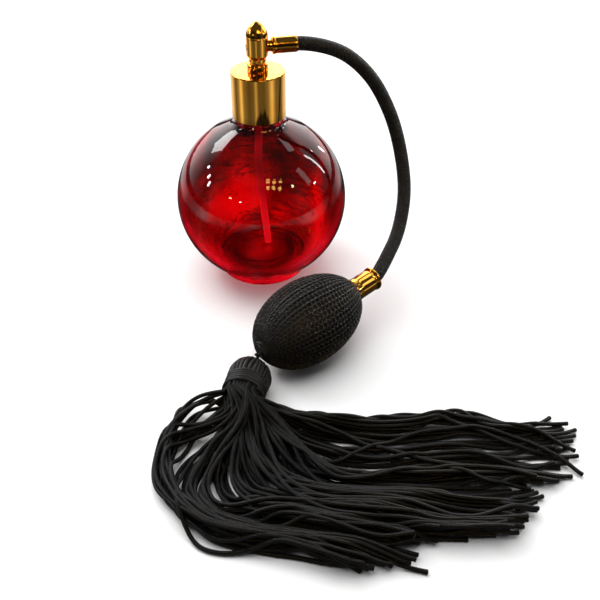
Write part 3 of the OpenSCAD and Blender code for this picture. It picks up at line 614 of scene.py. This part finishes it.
pairs = [(FAN[k], FAN[k + 1]) for k in range(len(FAN) - 1)]
pairs += [(FAN[k], FAN[k + 1]) for k in range(14, 27)]
pairs += [("B1", "B2"), ("A9", "B2"), ("A5", "A13"), ("A13", "A12"), ("G1", "B2"), ("G3", "B1")]
order = sorted(range(len(pairs)), key=lambda k: FAN.index(pairs[k][0]) + 0.01 * k)
left_to_right = sorted(free_places, key=lambda p: (p[0], p[1]))
for count, k in enumerate(order[: len(left_to_right)]):
    a, b = skirt[pairs[k][0]]["xy"], skirt[pairs[k][1]]["xy"]
    spot = left_to_right[count]
    w = random.uniform(0.25, 0.75)
    t = np.linspace(0, 1, 130)
    pa = np.stack([np.interp(t, np.linspace(0, 1, len(a)), a[:, c]) for c in (0, 1)], -1)
    pb = np.stack([np.interp(t, np.linspace(0, 1, len(b)), b[:, c]) for c in (0, 1)], -1)
    mid = pa * (1 - w) + pb * w
    mid += (BAND_END[:2] + ACROSS[:2] * spot[0] - mid[0]) * np.clip(1 - t * 5, 0, 1)[:, None] ** 2
    run = t * length_of(mid)
    side = unit(np.stack([-np.gradient(mid[:, 1]), np.gradient(mid[:, 0])], -1))
    wave = sum(random.uniform(0.3, 0.8) * np.sin(run * 2 * math.pi / random.uniform(30, 62) + random.uniform(0, 6.28)) for _ in range(2))
    mid += side * (wave * np.clip((run - 8) / 25, 0, 1))[:, None]
    mid = mid[: int(len(mid) * random.uniform(0.955, 1.0))]
    skirt["F%02d" % count] = {"spot": spot, "xy": resample(mid, 1.0), "master": False}


def fall(t):
    t = np.clip(t, 0, 1)
    return (1 - t) ** 2 * (1 + 2 * t)


# The cords are laid one on another: each rests on the table or on those already lying where it crosses them.
LAST = ["G1", "G2", "G3", "A1", "A2", "A13", "A12", "A11", "A14", "A10", "A3", "A4", "A5", "A6", "A7", "A8", "A9", "B10", "B9", "B1", "B7", "B8",
        "B6", "B5", "B4", "B3", "B2", "C11", "C10", "C9", "C8", "C7", "C6", "C5", "C4", "C3", "C2", "C1"]
laying = sorted([k for k in skirt if not skirt[k]["master"]], key=lambda k: skirt[k]["spot"][1]) + LAST
reach = 2 * CORD_R * 1.0
laid_xy, laid_z = np.zeros((0, 2)), np.zeros(0)
for key in laying:
    c = skirt[key]
    xy = c["xy"]
    n = len(xy)
    z0 = BAND_END[2] + c["spot"][1]
    run = np.concatenate([[0], np.cumsum(np.linalg.norm(np.diff(xy, axis=0), axis=1))])
    rest = CORD_R + (z0 - CORD_R) * fall((run - 1.5) / (10 + 1.7 * z0))
    z = rest.copy()
    if len(laid_xy):
        d2 = ((xy[:, None] - laid_xy[None]) ** 2).sum(-1)
        hit = d2 < reach ** 2
        lift = np.where(hit, laid_z[None] + np.sqrt(np.maximum(reach ** 2 - d2, 0)) * 0.93, 0).max(1)
        lift = np.minimum(lift, 7.6)
        z = np.maximum(z, np.where(run > 4, lift, 0))
    for _ in range(26):
        m = z.copy()
        m[1:-1] = 0.25 * z[:-2] + 0.5 * z[1:-1] + 0.25 * z[2:]
        m[-1] = 0.5 * (z[-1] + z[-2])
        z = np.maximum(rest, 0.5 * np.maximum(z, m) + 0.5 * m)
    blend_in = np.clip((run - 1.5) / 5, 0, 1)
    z = z0 * (1 - blend_in) + z * blend_in
    z = np.maximum(z, CORD_R)
    c["line"] = np.column_stack([xy, z])
    laid_xy = np.vstack([laid_xy, xy])
    laid_z = np.concatenate([laid_z, z])

fill_parts = []
for key in laying:
    line = skirt[key]["line"]
    # the last few millimetres inside the band's end, so that nothing shows behind it
    line = np.vstack([line[0] - OUT * 1.2, line])
    if skirt[key]["master"]:
        ob = mesh_object("skirt_cord_" + key, tube(line, CORD_R, 12, swell=0.04))
        place(ob, mat_cord, "tassel")
        if key == "B2":
            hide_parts("skirt_root", "skirt_left", "skirt_middle", "skirt_run", "skirt_ends")
    else:
        fill_parts += tube(resample(line, 1.5), CORD_R, 9, swell=0.04)
place(mesh_object("skirt_cords_inner", fill_parts), mat_cord, "tassel")

# ------------------------------------------------------------------ hose
PORT = math.radians(12.0)
port_dir = vec(math.cos(PORT), math.sin(PORT), 0)
bulb_ax = vec(0.74575, 0.65979, 0.09237)
bulb_c = vec(19.3, -61.6, 15.95)


def port_pt(d):
    return vec(d * math.cos(PORT), d * math.sin(PORT), 97.8)


def bulb_pt(s):
    return bulb_c + bulb_ax * s


# the route's points from part.scad, in metres
HOSE = [(0.031, 0.0065, 0.0935), (0.043, 0.0075, 0.0835), (0.0515, 0.006, 0.0695), (0.0565, 0.001, 0.055),
        (0.0585, -0.0075, 0.0405), (0.056, -0.0185, 0.029), (0.0505, -0.030, 0.0225)]
hose_free = [vec(*p) * 1000 for p in HOSE]
first, last = hose_free[0] - 26 * port_dir, hose_free[6] - 16 * bulb_ax
hose_line = spline([port_pt(15.2)] + hose_free + [bulb_pt(34.3)], 0.25, first=first, last=last, alpha=0.0001)
hose_line = resample(np.vstack([port_pt(13.6), hose_line, bulb_pt(33.0)]), 0.5)

T, N, B = frames(hose_line)
run = np.concatenate([[0], np.cumsum(np.linalg.norm(np.diff(hose_line, axis=0), axis=1))])
a = np.linspace(0, 2 * math.pi, 24, endpoint=False)
core = hose_line[:, None] + 2.26 * (np.cos(a)[None, :, None] * N[:, None] + np.sin(a)[None, :, None] * B[:, None])
hose_parts = [grid(core, run), fan(core[0], hose_line[0], flip=True), fan(core[-1], hose_line[-1])]
STRANDS, PITCH = 12, 17.0
sec = np.linspace(0, 2 * math.pi, 6, endpoint=False)
for way in (1, -1):
    for k in range(STRANDS):
        ang = way * (run / PITCH * 2 * math.pi) + 2 * math.pi * k / STRANDS
        # over one, under one
        r = 2.45 + way * 0.18 * np.cos(STRANDS * run / PITCH * 2 * math.pi)
        out = np.cos(ang)[:, None] * N + np.sin(ang)[:, None] * B
        line = hose_line + r[:, None] * out
        t = unit(np.gradient(line, axis=0))
        w = unit(np.cross(t, out))
        o = np.cross(w, t)
        rings = line[:, None] + 0.44 * np.cos(sec)[None, :, None] * w[:, None] + 0.18 * np.sin(sec)[None, :, None] * o[:, None]
        hose_parts.append(grid(rings, run))
hose = mesh_object("hose_braided", hose_parts)
hose.data.materials.append(mat_braid)
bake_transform(hose)
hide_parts("hose_tube", "hose_braid")


# ------------------------------------------------------------------ tassel head, band and hanging loop
head_c = vec(-2.1, -85.2, 8.1)
up = vec(0, 0, 1)


def head_pt(along, ang, r):
    """A point round the tassel's axis; along is 0 at the dome's centre and grows towards the tips."""
    along, ang, r = np.broadcast_arrays(*(np.asarray(q, float) for q in (along, ang, r)))
    return head_c + OUT * along[..., None] + ACROSS * (r * np.cos(ang))[..., None] + up * (r * np.sin(ang))[..., None]


head_parts = turned([(0, -6.9), (2.4, -6.5), (4.4, -5.3), (5.9, -3.6), (6.7, -1.7), (6.9, 0), (6.75, 2.6), (6.3, 3.4)],
                    64, head_c, OUT)
RIBS = 30
for k in range(RIBS):
    t = np.linspace(0, 1, 30)
    lat = np.radians(84) * (1 - t) ** 1.0
    lat = np.where(t < 1, lat, 0)
    rad = 7.30 + 0.05 * random.uniform(-1, 1)
    along = -rad * np.sin(lat)
    r = rad * np.cos(lat)
    tail = np.linspace(0.4, 3.6, 6)
    along = np.concatenate([along, tail])
    r = np.concatenate([r, rad - 0.055 * tail ** 1.5])
    ang = 2 * math.pi * k / RIBS + 0.20 * np.sin(np.linspace(0, 1.4, len(r))) + 0.035 * np.sin(np.linspace(0, 5, len(r)) + random.uniform(0, 6)) + random.uniform(-0.02, 0.02)
    line = head_pt(along, ang, r)
    thick = np.minimum(0.76, 0.12 + r * math.pi / RIBS * 1.03)
    head_parts += tube(line, thick, 9)
place(mesh_object("tassel_head_ribs", head_parts), mat_wrap, "tassel", ["tassel_head"])

turns = 5
t = np.linspace(0, turns * 2 * math.pi, turns * 72)
along = 3.15 + 5.75 * t / t[-1]
wind = head_pt(along, t * 1.0 + 0.7, 7.03 + 0.05 * np.sin(t * 1.7) + 0.04 * np.sin(t * 0.63 + 1))
under = turned([(6.2, 2.8), (6.62, 3.2), (6.62, 9.2), (6.2, 9.6)], 64, head_c, OUT)
inner_face = turned([(0, 9.35), (3.0, 9.35), (6.3, 9.35)], 48, head_c, OUT)
place(mesh_object("tassel_band_wrap", tube(wind, 0.74, 12) + under + inner_face), mat_wrap, "tassel", ["tassel_band"])

loop = spline([(0, -76.4, 8.1), (0.6, -76.95, 10.7), (1.05, -78.25, 13.1), (0.4, -80.4, 15.3)], 0.3, first=(-1, -75.5, 5))
collar_turns = []
t = np.linspace(0, 2.6 * 2 * math.pi, 110)
for_knot = head_pt(-7.6 + 0.9 * t / t[-1], t, 1.15 + 0.35 * t / t[-1])
place(mesh_object("hanging_loop", tube(loop, 0.60, 12) + tube(for_knot, 0.5, 8)), mat_wrap, "tassel", ["tassel_loop"])

# ------------------------------------------------------------------ bulb: rubber inside, knitted cover outside
side = unit(np.cross(bulb_ax, up))
lift_dir = np.cross(side, bulb_ax)


def egg(w, shrink=0.0):
    """Radius and height on the bulb's outside, pulled in by shrink."""
    r = 15.8 * np.cos(w) * (1 - 0.03 * np.sin(w))
    s = 24.1 * np.sin(w)
    dr = -15.8 * np.sin(w) * (1 - 0.03 * np.sin(w)) - 15.8 * np.cos(w) * 0.03 * np.cos(w)
    ds = 24.1 * np.cos(w)
    n = np.hypot(dr, ds)
    return r - shrink * ds / n, s + shrink * dr / n


def bulb_surface(w, ang, out):
    """A point on the bulb: w from the tail (-pi/2) to the connector (pi/2), out in millimetres from the cover's mid line."""
    r, s = egg(w, 0.60 - out)
    return bulb_c + bulb_ax * s[..., None] + side * (r * np.cos(ang))[..., None] + lift_dir * (r * np.sin(ang))[..., None]


w = np.linspace(-math.pi / 2 + 0.02, math.pi / 2 - 0.02, 60)
r_in, s_in = egg(w, 1.18)
rubber = [(0, s_in[0] - 0.1)] + list(zip(r_in, s_in)) + [(0, s_in[-1] + 0.1)]
ob = place(mesh_object("bulb_rubber", turned(rubber, 96, bulb_c, bulb_ax)), mat_rubber, "bulb", ["rubber_bulb"])

WALES, COURSE = 26, 1.80
ws = np.linspace(-math.pi / 2, math.pi / 2, 4000)
rr, ss = egg(ws, 0.6)
arc = np.concatenate([[0], np.cumsum(np.hypot(np.diff(rr), np.diff(ss)))])
end_arc = np.interp(23.4, ss, arc)          # the cover is drawn in under the connector
COURSES = int((end_arc - 1.6) / COURSE)
SAMPLES = 20
tt = np.arange(WALES * SAMPLES) / SAMPLES * 2 * math.pi
knit = [[], []]
phase = 0.0
for row in range(COURSES):
    at = 1.6 + (row + 0.5) * (end_arc - 1.6) / COURSES
    theta0 = tt / (2 * math.pi)
    ang0 = theta0 / WALES * 2 * math.pi
    # hand-made unevenness: rows wander, loops differ in size, most of all by the gathered tail
    loose = 1.0 + 1.6 * math.exp(-at / 7.0)
    stitch = np.floor(theta0).astype(int)
    vary = rng.normal(0, 1, WALES)
    vary = vary[stitch % WALES]
    wander = 0.10 * np.sin(ang0 * 3 + row * 0.35) + 0.07 * np.sin(ang0 * 7 - row * 0.8)
    tallness = 0.68 * (1 + 0.05 * loose * vary)
    y = at + COURSE * (wander * loose - tallness * np.cos(tt))
    radius_here = np.interp(at, arc, rr)
    pinch = 0.155 + 0.012 * loose * vary
    x = theta0 + pinch * np.sin(2 * tt) + 0.015 * np.sin(tt)
    twist = 0.05 * math.sin(row * 0.21) + 0.0035 * row
    ang = x / WALES * 2 * math.pi + twist
    width = 2 * math.pi * radius_here / WALES
    yarn = float(np.clip(0.076 * width + 0.03, 0.14, 0.33))
    out = 0.05 - 0.36 * np.cos(2 * tt) * min(1.0, yarn / 0.25) + 0.03 * vary
    wv = np.interp(y, arc, ws)
    line = bulb_surface(wv, ang, out)
    Tn = unit(np.roll(line, -1, 0) - np.roll(line, 1, 0))
    centre_out = unit(line - (bulb_c + ((line - bulb_c) @ bulb_ax)[:, None] * bulb_ax))
    Bn = unit(np.cross(Tn, centre_out))
    Nn = np.cross(Bn, Tn)
    a6 = np.linspace(0, 2 * math.pi, 6, endpoint=False)
    rings = line[:, None] + yarn * (np.cos(a6)[None, :, None] * Nn[:, None] + np.sin(a6)[None, :, None] * Bn[:, None])
    run6 = np.concatenate([[0], np.cumsum(np.linalg.norm(np.diff(line, axis=0), axis=1))])
    knit[0 if row < COURSES // 2 else 1].append(grid(rings, run6, close_along=True))

# the gathered tail: the drawn-in thread and a few stray turns
for k in range(5):
    t = np.linspace(0, 2 * math.pi * 1.3, 50)
    wv = -math.pi / 2 + 0.07 + 0.045 * k + 0.02 * np.sin(t * 2 + k)
    knit[0] += tube(bulb_surface(wv, t + k * 1.3, 0.16 + 0.10 * np.sin(t * 3 + k)), 0.32, 7)
# the ribbed mouth, drawn up against the connector
for k in range(WALES):
    a0 = 2 * math.pi * (k + 0.5) / WALES + 0.25
    t = np.linspace(end_arc - 1.3, end_arc + 0.5, 6)
    knit[1] += tube(bulb_surface(np.interp(t, arc, ws), np.full(6, a0), 0.05 + 0 * t), 0.22, 6)
tail_half = place(mesh_object("knit_cover_tail", knit[0]), mat_knit, "bulb", ["bulb_cover"])
mouth_half = place(mesh_object("knit_cover_mouth", knit[1]), mat_knit, "bulb")
for ob2 in (bpy.data.objects["bulb_rubber"], tail_half, mouth_half):
    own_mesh(ob2)

# ------------------------------------------------------------------ gold fittings
con = rounded([(3.0, 22.6), (4.55, 22.6), (4.75, 23.2), (4.35, 25.4), (4.35, 31.9), (4.12, 32.7), (4.12, 33.2), (4.72, 33.35), (4.72, 34.15),
               (4.45, 34.35), (3.0, 34.35), (3.0, 33.2)], [0, .3, .3, .6, .5, .15, .1, .15, .18, .12, .1, 0])
place(mesh_object("connector_sleeve", turned(con, 160, bulb_c, bulb_ax, closed=True), 50), mat_gold, "bulb", ["bulb_connector"])

fer = rounded([(2.4, 5.55), (3.0, 5.55), (3.32, 5.85), (3.32, 6.55), (3.10, 6.85), (3.10, 14.6), (2.98, 15.15), (2.86, 15.2), (2.86, 7.0), (2.4, 7.0)],
              [0, .1, .15, .15, .2, .3, .12, .05, 0, 0])
place(mesh_object("hose_ferrule", turned(fer, 128, port_pt(0), port_dir, closed=True), 50), mat_gold, "head", ["port_ferrule"])

shell = rounded([(9.98, 70.45), (10.55, 70.4), (10.6, 70.6), (10.6, 88.6), (3.02, 88.6), (3.02, 88.0), (9.98, 88.0)],
                [0.04, .06, .1, .42, .08, .08, 0.2], 7)
place(mesh_object("collar_cup", turned(shell, 220, closed=True), 50), mat_gold, "collar", ["collar_shell"])

ring = rounded([(2.93, 88.72), (3.95, 88.72), (4.05, 88.9), (4.05, 91.1), (3.75, 91.55), (2.93, 91.55)], [0, .1, .1, .25, .15, 0])
place(mesh_object("stem_ring_turned", turned(ring, 128, closed=True), 50), mat_gold, "sprayer", ["stem_ring"])

barrel = rounded([(0, 92.0), (3.15, 92.0), (3.4, 92.25), (3.4, 93.7), (3.9, 94.2), (4.2, 94.7), (4.2, 101.5), (4.05, 101.8), (0, 101.8)],
                 [0, .12, .15, .25, .3, .4, .2, .08, 0])
neck = rounded([(2.2, 3.2), (2.2, 5.9), (0, 5.9)], [0, .15, 0])
place(mesh_object("head_barrel", turned(barrel, 160) + turned(neck, 96, port_pt(0), port_dir), 50), mat_gold, "head", ["head_body"])

td = np.linspace(0, 1, 34)
dome = [(0, 101.84), (4.0, 101.84)] + [(4.2 * (1 - q ** 1.9) ** 0.72, 101.9 + 5.5 * q) for q in td]
dome[-1] = (0, 107.4)
place(mesh_object("head_cap", turned(rounded(dome[:3], [0, .12, 0]).tolist() + dome[3:], 160), 50), mat_gold, "head", ["head_dome"])

barb = rounded([(0, 3.05), (1.9, 3.05), (1.9, 5.8), (1.42, 6.3), (1.42, 13.2), (1.2, 13.6), (0, 13.6)], [0, .1, .1, .1, .2, .1, 0])
for node, mat in (("hose_barb", mat_gold_soft), ("sprayer_stem", mat_brass), ("liquid_jet", mat_brass), ("nozzle_insert", mat_gold_soft),
                  ("dome_seal", mat_seal), ("neck_gasket", mat_gasket), ("collar_liner", mat_liner),
                  ("outlet_valve_body", mat_valve), ("inlet_valve_body", mat_valve), ("outlet_valve_ball", mat_steel),
                  ("inlet_valve_ball", mat_steel), ("tassel_core", mat_wood)):
    paint(node, mat)

dip = spline([(0, 0, 82.9), (0, 0, 78), (-0.3, 0, 66), (-0.8, 0, 53), (-0.6, 0, 43), (0.3, 0, 33), (1.4, 0, 21), (2.4, 0, 9.6)], 0.8,
             first=(0, 0, 86), last=(3, 0, 3))
Td, Nd, Bd = frames(dip)
a32 = np.linspace(0, 2 * math.pi, 32, endpoint=False)
ringd = np.cos(a32)[None, :, None] * Nd[:, None] + np.sin(a32)[None, :, None] * Bd[:, None]
outer, inner = dip[:, None] + 1.5 * ringd, dip[:, None] + 0.95 * ringd
both = np.concatenate([outer, inner[::-1]])
place(mesh_object("dip_tube_clear", [grid(both, np.arange(len(both)) * 0.8, close_along=True)], 50), mat_dip_painted_glow, "sprayer", ["dip_tube"])

# ------------------------------------------------------------------ bottle
outside = []
sphere_low = math.asin((3.6 - 33.3) / 35.0)
for q in np.linspace(sphere_low, math.asin((62.4 - 33.3) / 35.0), 70):
    outside.append((35.0 * math.cos(q), 33.3 + 35.0 * math.sin(q)))
foot = rounded([(0, 0.35), (15.6, 0.35), (16.2, 0.0), (17.1, 0.0), (18.2, 0.7), (18.35, 1.9), (18.3, 3.0), outside[0]],
               [0, .5, .3, .5, .7, .5, .4, 0], 6)
top = rounded([outside[-1], (11.6, 66.2), (10.1, 67.6), (9.4, 69.4), (8.3, 70.1), (7.8, 71.0), (7.8, 84.9), (7.5, 85.4), (5.3, 85.4), (5.0, 84.9),
               (5.0, 66.0), (9.5, 64.2)], [0, 1.4, .8, .5, .4, .4, .4, .2, .2, .4, 2.0, 0], 6)
hollow = []
for q in np.linspace(math.asin((64.0 - 33.7) / 32.2), math.asin((9.9 - 33.7) / 32.2), 60):
    hollow.append((32.2 * math.cos(q), 33.7 + 32.2 * math.sin(q)))
floor_in = rounded([hollow[-1], (19.4, 8.05), (0, 8.0)], [0, 1.6, 0], 8)
profile = [tuple(p) for p in foot[:-1]] + outside + [tuple(p) for p in top[1:-1]] + hollow + [tuple(p) for p in floor_in[1:]]
bottle_parts = turned(profile, 240)
glass = mesh_object("bottle_glass", bottle_parts)
place(glass, mat_glass, "bottle", ["glass_bottle"])

# the moulded thread, as a separate run of glass on the neck
t = np.linspace(0, 1.5 * 2 * math.pi, 150)
z = 75.5 + 3.0 * t / (2 * math.pi)
taper = np.clip(np.minimum(t, t[-1] - t) / 0.5, 0, 1)
cs = [(-0.85, -0.1), (-0.42, 0.95), (0.42, 0.95), (0.85, -0.1)]
rings = np.stack([np.stack([(7.72 + dr * (0.15 + 0.85 * taper)) * np.cos(t), (7.72 + dr * (0.15 + 0.85 * taper)) * np.sin(t), z + dz], -1) for dz, dr in cs], 1)
thread = mesh_object("neck_thread", [grid(rings, t), fan(rings[0], rings[0].mean(0), True), fan(rings[-1], rings[-1].mean(0))], 40)
place(thread, mat_glass, "bottle")

# ------------------------------------------------------------------ floor, world and lights
floor_mesh = bpy.data.meshes.new("floor")
floor_mesh.from_pydata([(-3, -3, 0), (3, -3, 0), (3, 3, 0), (-3, 3, 0)], [], [(0, 1, 2, 3)])
floor = bpy.data.objects.new("floor", floor_mesh)
floor.location = (0.03, -0.05, -0.0003)
bpy.context.scene.collection.objects.link(floor)
sf = Shader("floor_paper_painted_reflection")
tone = sf.ramp(sf.noise(8.0, 2.0, 0.5, sf.coords()), [(0.3, (0.835, 0.832, 0.830)), (0.7, (0.845, 0.843, 0.842))])
bf = sf.add("BsdfPrincipled", Roughness=0.7)
bf.inputs["Specular IOR Level"].default_value = 0.1
sf.set(bf.inputs["Base Color"], tone)
# Bright and dark bands round the table, used by the world's light and by the floor's painted reflection: glossy rays
# that hit the floor see it glow in these bands, standing in for the room.
BANDS = [(0.00, 0.95), (0.14, 0.90), (0.215, 0.10), (0.265, 0.28), (0.300, 0.95), (0.335, 0.22), (0.400, 0.09), (0.455, 0.14),
         (0.480, 0.50), (0.505, 0.12), (0.570, 0.10), (0.620, 0.22), (0.665, 0.80), (0.710, 0.18), (0.800, 0.10), (0.860, 0.75), (1.00, 0.95)]
floor_xyz = sf.xyz(sf.coords())
turn = sf.math("ARCTAN2", sf.math("ADD", floor_xyz[0], 0.03), sf.math("MULTIPLY", sf.math("ADD", floor_xyz[1], -0.05), -1.0))
painted_reflection_bands = sf.ramp(sf.math("MULTIPLY_ADD", turn, 1 / (2 * math.pi), 0.5), BANDS)
# painted shade: the painted reflection fades to dark close to the object
painted_shade_near_object = sf.add("MapRange", Value=sf.math("SQRT", sf.math("ADD", sf.math("POWER", sf.math("ADD", floor_xyz[0], 0.03), 2.0),
                                                             sf.math("POWER", sf.math("ADD", floor_xyz[1], -0.05), 2.0))))
painted_shade_near_object.inputs["From Min"].default_value, painted_shade_near_object.inputs["From Max"].default_value = 0.125, 0.165
painted_shade_near_object.inputs["To Min"].default_value, painted_shade_near_object.inputs["To Max"].default_value = 0.05, 1.0
painted_reflection_glow = sf.add("Emission")
far_off = sf.add("MapRange", Value=sf.math("SQRT", sf.math("ADD", sf.math("POWER", sf.math("ADD", floor_xyz[0], 0.03), 2.0),
                                                           sf.math("POWER", sf.math("ADD", floor_xyz[1], -0.05), 2.0))))
far_off.inputs["From Min"].default_value, far_off.inputs["From Max"].default_value = 0.34, 0.42
far_off.inputs["To Min"].default_value, far_off.inputs["To Max"].default_value = 1.0, 0.06
sf.set(painted_reflection_glow.inputs["Color"], sf.math("MULTIPLY", painted_reflection_bands, sf.math("MULTIPLY", painted_shade_near_object.outputs[0], far_off.outputs[0])))
painted_reflection_glow.inputs["Strength"].default_value = 1.15
# glossy rays that do not come through glass see the painted reflection glow instead of the paper
fpath = sf.add("LightPath")
fmix = sf.add("MixShader")
sf.set(fmix.inputs[0], sf.math("MULTIPLY", fpath.outputs["Is Glossy Ray"], sf.math("SUBTRACT", 1.0, fpath.outputs["Is Transmission Ray"])))
sf.set(fmix.inputs[1], bf.outputs[0])
sf.set(fmix.inputs[2], painted_reflection_glow.outputs[0])
# far from the object the paper runs out into the white of the room
away = sf.add("MapRange", Value=sf.math("SQRT", sf.math("ADD", sf.math("POWER", floor_xyz[0], 2.0), sf.math("POWER", floor_xyz[1], 2.0))))
away.interpolation_type = "SMOOTHSTEP"
away.inputs["From Min"].default_value, away.inputs["From Max"].default_value = 0.36, 0.85
paper = sf.add("Emission")
paper.inputs["Color"].default_value = (1.0, 1.0, 1.0, 1.0)
paper.inputs["Strength"].default_value = 0.985
seen_by = sf.math("MINIMUM", sf.math("ADD", fpath.outputs["Is Camera Ray"], fpath.outputs["Is Transmission Ray"]), 1.0)
out_mix = sf.add("MixShader")
sf.set(out_mix.inputs[0], sf.math("MULTIPLY", away.outputs[0], seen_by))
sf.set(out_mix.inputs[1], fmix.outputs[0])
sf.set(out_mix.inputs[2], paper.outputs[0])
floor_mesh.materials.append(sf.finish(out_mix.outputs[0]))

scene = bpy.context.scene
world = bpy.data.worlds.new("studio")
scene.world = world
world.use_nodes = True
nt = world.node_tree
nt.nodes.clear()


def wmath(op, a, b=0.0, clamp=False):
    n = nt.nodes.new("ShaderNodeMath")
    n.operation, n.use_clamp = op, clamp
    for socket, value in zip(n.inputs, (a, b)):
        if isinstance(value, bpy.types.NodeSocket):
            nt.links.new(value, socket)
        else:
            socket.default_value = value
    return n.outputs[0]


wc = nt.nodes.new("ShaderNodeTexCoord")
ws_ = nt.nodes.new("ShaderNodeSeparateXYZ")
nt.links.new(wc.outputs["Generated"], ws_.inputs[0])
wx, wy, wz = ws_.outputs
wturn = wmath("ADD", wmath("MULTIPLY", wmath("ARCTAN2", wx, wmath("MULTIPLY", wy, -1.0)), 1 / (2 * math.pi)), 0.5)
ring_ = nt.nodes.new("ShaderNodeValToRGB")
nt.links.new(wturn, ring_.inputs[0])
while len(ring_.color_ramp.elements) < len(BANDS):
    ring_.color_ramp.elements.new(0.5)
for k, (pos, val) in enumerate(BANDS):
    ring_.color_ramp.elements[k].position = pos
    ring_.color_ramp.elements[k].color = (val, val, val, 1)
high = nt.nodes.new("ShaderNodeMapRange")
high.interpolation_type = "SMOOTHSTEP"
nt.links.new(wz, high.inputs["Value"])
high.inputs["From Min"].default_value, high.inputs["From Max"].default_value = 0.62, 0.74
inv = wmath("SUBTRACT", 1.0, high.outputs[0])
front = nt.nodes.new("ShaderNodeMapRange")
front.interpolation_type = "SMOOTHSTEP"
nt.links.new(wy, front.inputs["Value"])
front.inputs["From Min"].default_value, front.inputs["From Max"].default_value = -0.15, 0.35
front.inputs["To Min"].default_value = 0.10
back = nt.nodes.new("ShaderNodeMapRange")
nt.links.new(wy, back.inputs["Value"])
back.inputs["From Min"].default_value, back.inputs["From Max"].default_value = 0.45, 0.80
back.inputs["To Min"].default_value, back.inputs["To Max"].default_value = 1.0, 1.7
level = wmath("ADD", wmath("MULTIPLY", wmath("MULTIPLY", inv, wmath("MULTIPLY", front.outputs[0], back.outputs[0])), wmath("MULTIPLY", ring_.outputs[0], 1.45)),
              wmath("MULTIPLY", high.outputs[0], 0.07))
seen = nt.nodes.new("ShaderNodeBackground")
seen.inputs["Color"].default_value = (1.0, 1.0, 1.0, 1.0)
seen.inputs["Strength"].default_value = 0.985
lit = nt.nodes.new("ShaderNodeBackground")
lit.inputs["Color"].default_value = (1.0, 0.995, 0.985, 1.0)
nt.links.new(level, lit.inputs["Strength"])
lp = nt.nodes.new("ShaderNodeLightPath")
mixw = nt.nodes.new("ShaderNodeMixShader")
nt.links.new(lp.outputs["Is Camera Ray"], mixw.inputs[0])
nt.links.new(lit.outputs[0], mixw.inputs[1])
nt.links.new(seen.outputs[0], mixw.inputs[2])
wout = nt.nodes.new("ShaderNodeOutputWorld")
nt.links.new(mixw.outputs[0], wout.inputs["Surface"])


def softbox(name, at, aim, size, power, colour=(1, 1, 1)):
    """A studio light: size in metres, seen in gloss and through glass but not by the camera."""
    li = bpy.data.lights.new(name, "AREA")
    li.shape = "RECTANGLE"
    li.size, li.size_y = size
    li.energy = power
    li.color = colour
    o = bpy.data.objects.new(name, li)
    o.location = at
    o.rotation_mode = "QUATERNION"
    o.rotation_quaternion = (Vector(aim) - Vector(at)).to_track_quat("-Z", "Y")
    o.visible_camera = False
    scene.collection.objects.link(o)
    return o


def only(o, diffuse, glossy, transmission):
    o.visible_diffuse, o.visible_glossy, o.visible_transmission = diffuse, glossy, transmission
    return o


only(softbox("ceiling", (-0.10, 0.10, 1.5), (0.0, -0.03, 0.0), (1.8, 1.8), 34.0), True, False, False)
only(softbox("key_left_diffuse", (-0.70, 0.50, 0.90), (0.0, -0.03, 0.03), (0.5, 0.4), 5.0), True, False, False)
only(softbox("key_left_gloss", (-0.55, 0.45, 0.62), (0.0, -0.03, 0.03), (0.34, 0.26), 2.2), False, True, True)
only(softbox("strip_right", (0.75, 0.30, 0.42), (0.0, 0.0, 0.05), (0.04, 0.45), 0.8), False, True, False)


# two white cards whose reflections lie along the fitting on the bulb
fitting = vec(0.050, -0.035, 0.022)
only(softbox("card_top", tuple(fitting + 0.7 * vec(0.28, 0.43, 0.86)), tuple(fitting), (0.30, 0.10), 0.17), False, True, False)
only(softbox("card_right", tuple(fitting + 0.7 * vec(0.80, -0.12, 0.58)), tuple(fitting), (0.10, 0.30), 0.14), False, True, False)

# a bright card behind, which the flat top of the collar shows
only(softbox("card_back", tuple(vec(0, 0, 0.095) + 0.9 * vec(-0.05, 0.93, 0.37)), (0.0, 0.0, 0.095), (0.50, 0.26), 0.36), False, True, False)


def towards(px, py, distance, size, power, colour):
    """A small light whose reflection shows on the front of the glass, px right and py up from its middle in shares of its radius."""
    nz = math.sqrt(1 - px * px - py * py)
    d = vec(2 * nz * px, 2 * nz * py, 2 * nz * nz - 1)
    right, cup, back = vec(1, 0, 0), vec(0, 0.6045, 0.7966), vec(0, -0.7966, 0.6045)
    way = d[0] * right + d[1] * cup + d[2] * back
    at = vec(0, 0, 0.035) + way * distance
    only(softbox("spark_%+.2f_%+.2f" % (px, py), tuple(at), (0, 0, 0.035), size, power * 2.0, colour), False, True, False)


for py in (0.12, 0.20, 0.30):
    towards(-0.57, py, 0.8, (0.03, 0.06), 0.16, (1, 1, 1))
towards(-0.33, -0.06, 0.8, (0.05, 0.03), 0.06, (1.0, 0.70, 0.30))
towards(-0.22, -0.12, 0.8, (0.03, 0.02), 0.05, (1.0, 0.85, 0.6))
for gx in range(3):
    for gy in range(2):
        towards(0.09 + 0.065 * gx, 0.03 + 0.075 * gy, 0.8, (0.055, 0.06), 0.07, (1.0, 0.62, 0.16))
towards(0.36, 0.06, 0.8, (0.035, 0.04), 0.09, (1.0, 0.72, 0.35))
towards(0.55, 0.50, 0.8, (0.07, 0.025), 0.10, (1, 1, 1))
towards(0.64, 0.58, 0.8, (0.03, 0.08), 0.12, (1, 1, 1))
towards(0.61, 0.13, 0.8, (0.06, 0.02), 0.10, (1, 1, 1))

scene.view_settings.view_transform = "Standard"
scene.view_settings.look = "None"
scene.view_settings.exposure = 0.0
scene.cycles.caustics_reflective = False
scene.cycles.caustics_refractive = True
scene.cycles.transmission_bounces = 12
scene.cycles.max_bounces = 14
scene.cycles.sample_clamp_indirect = 4.0
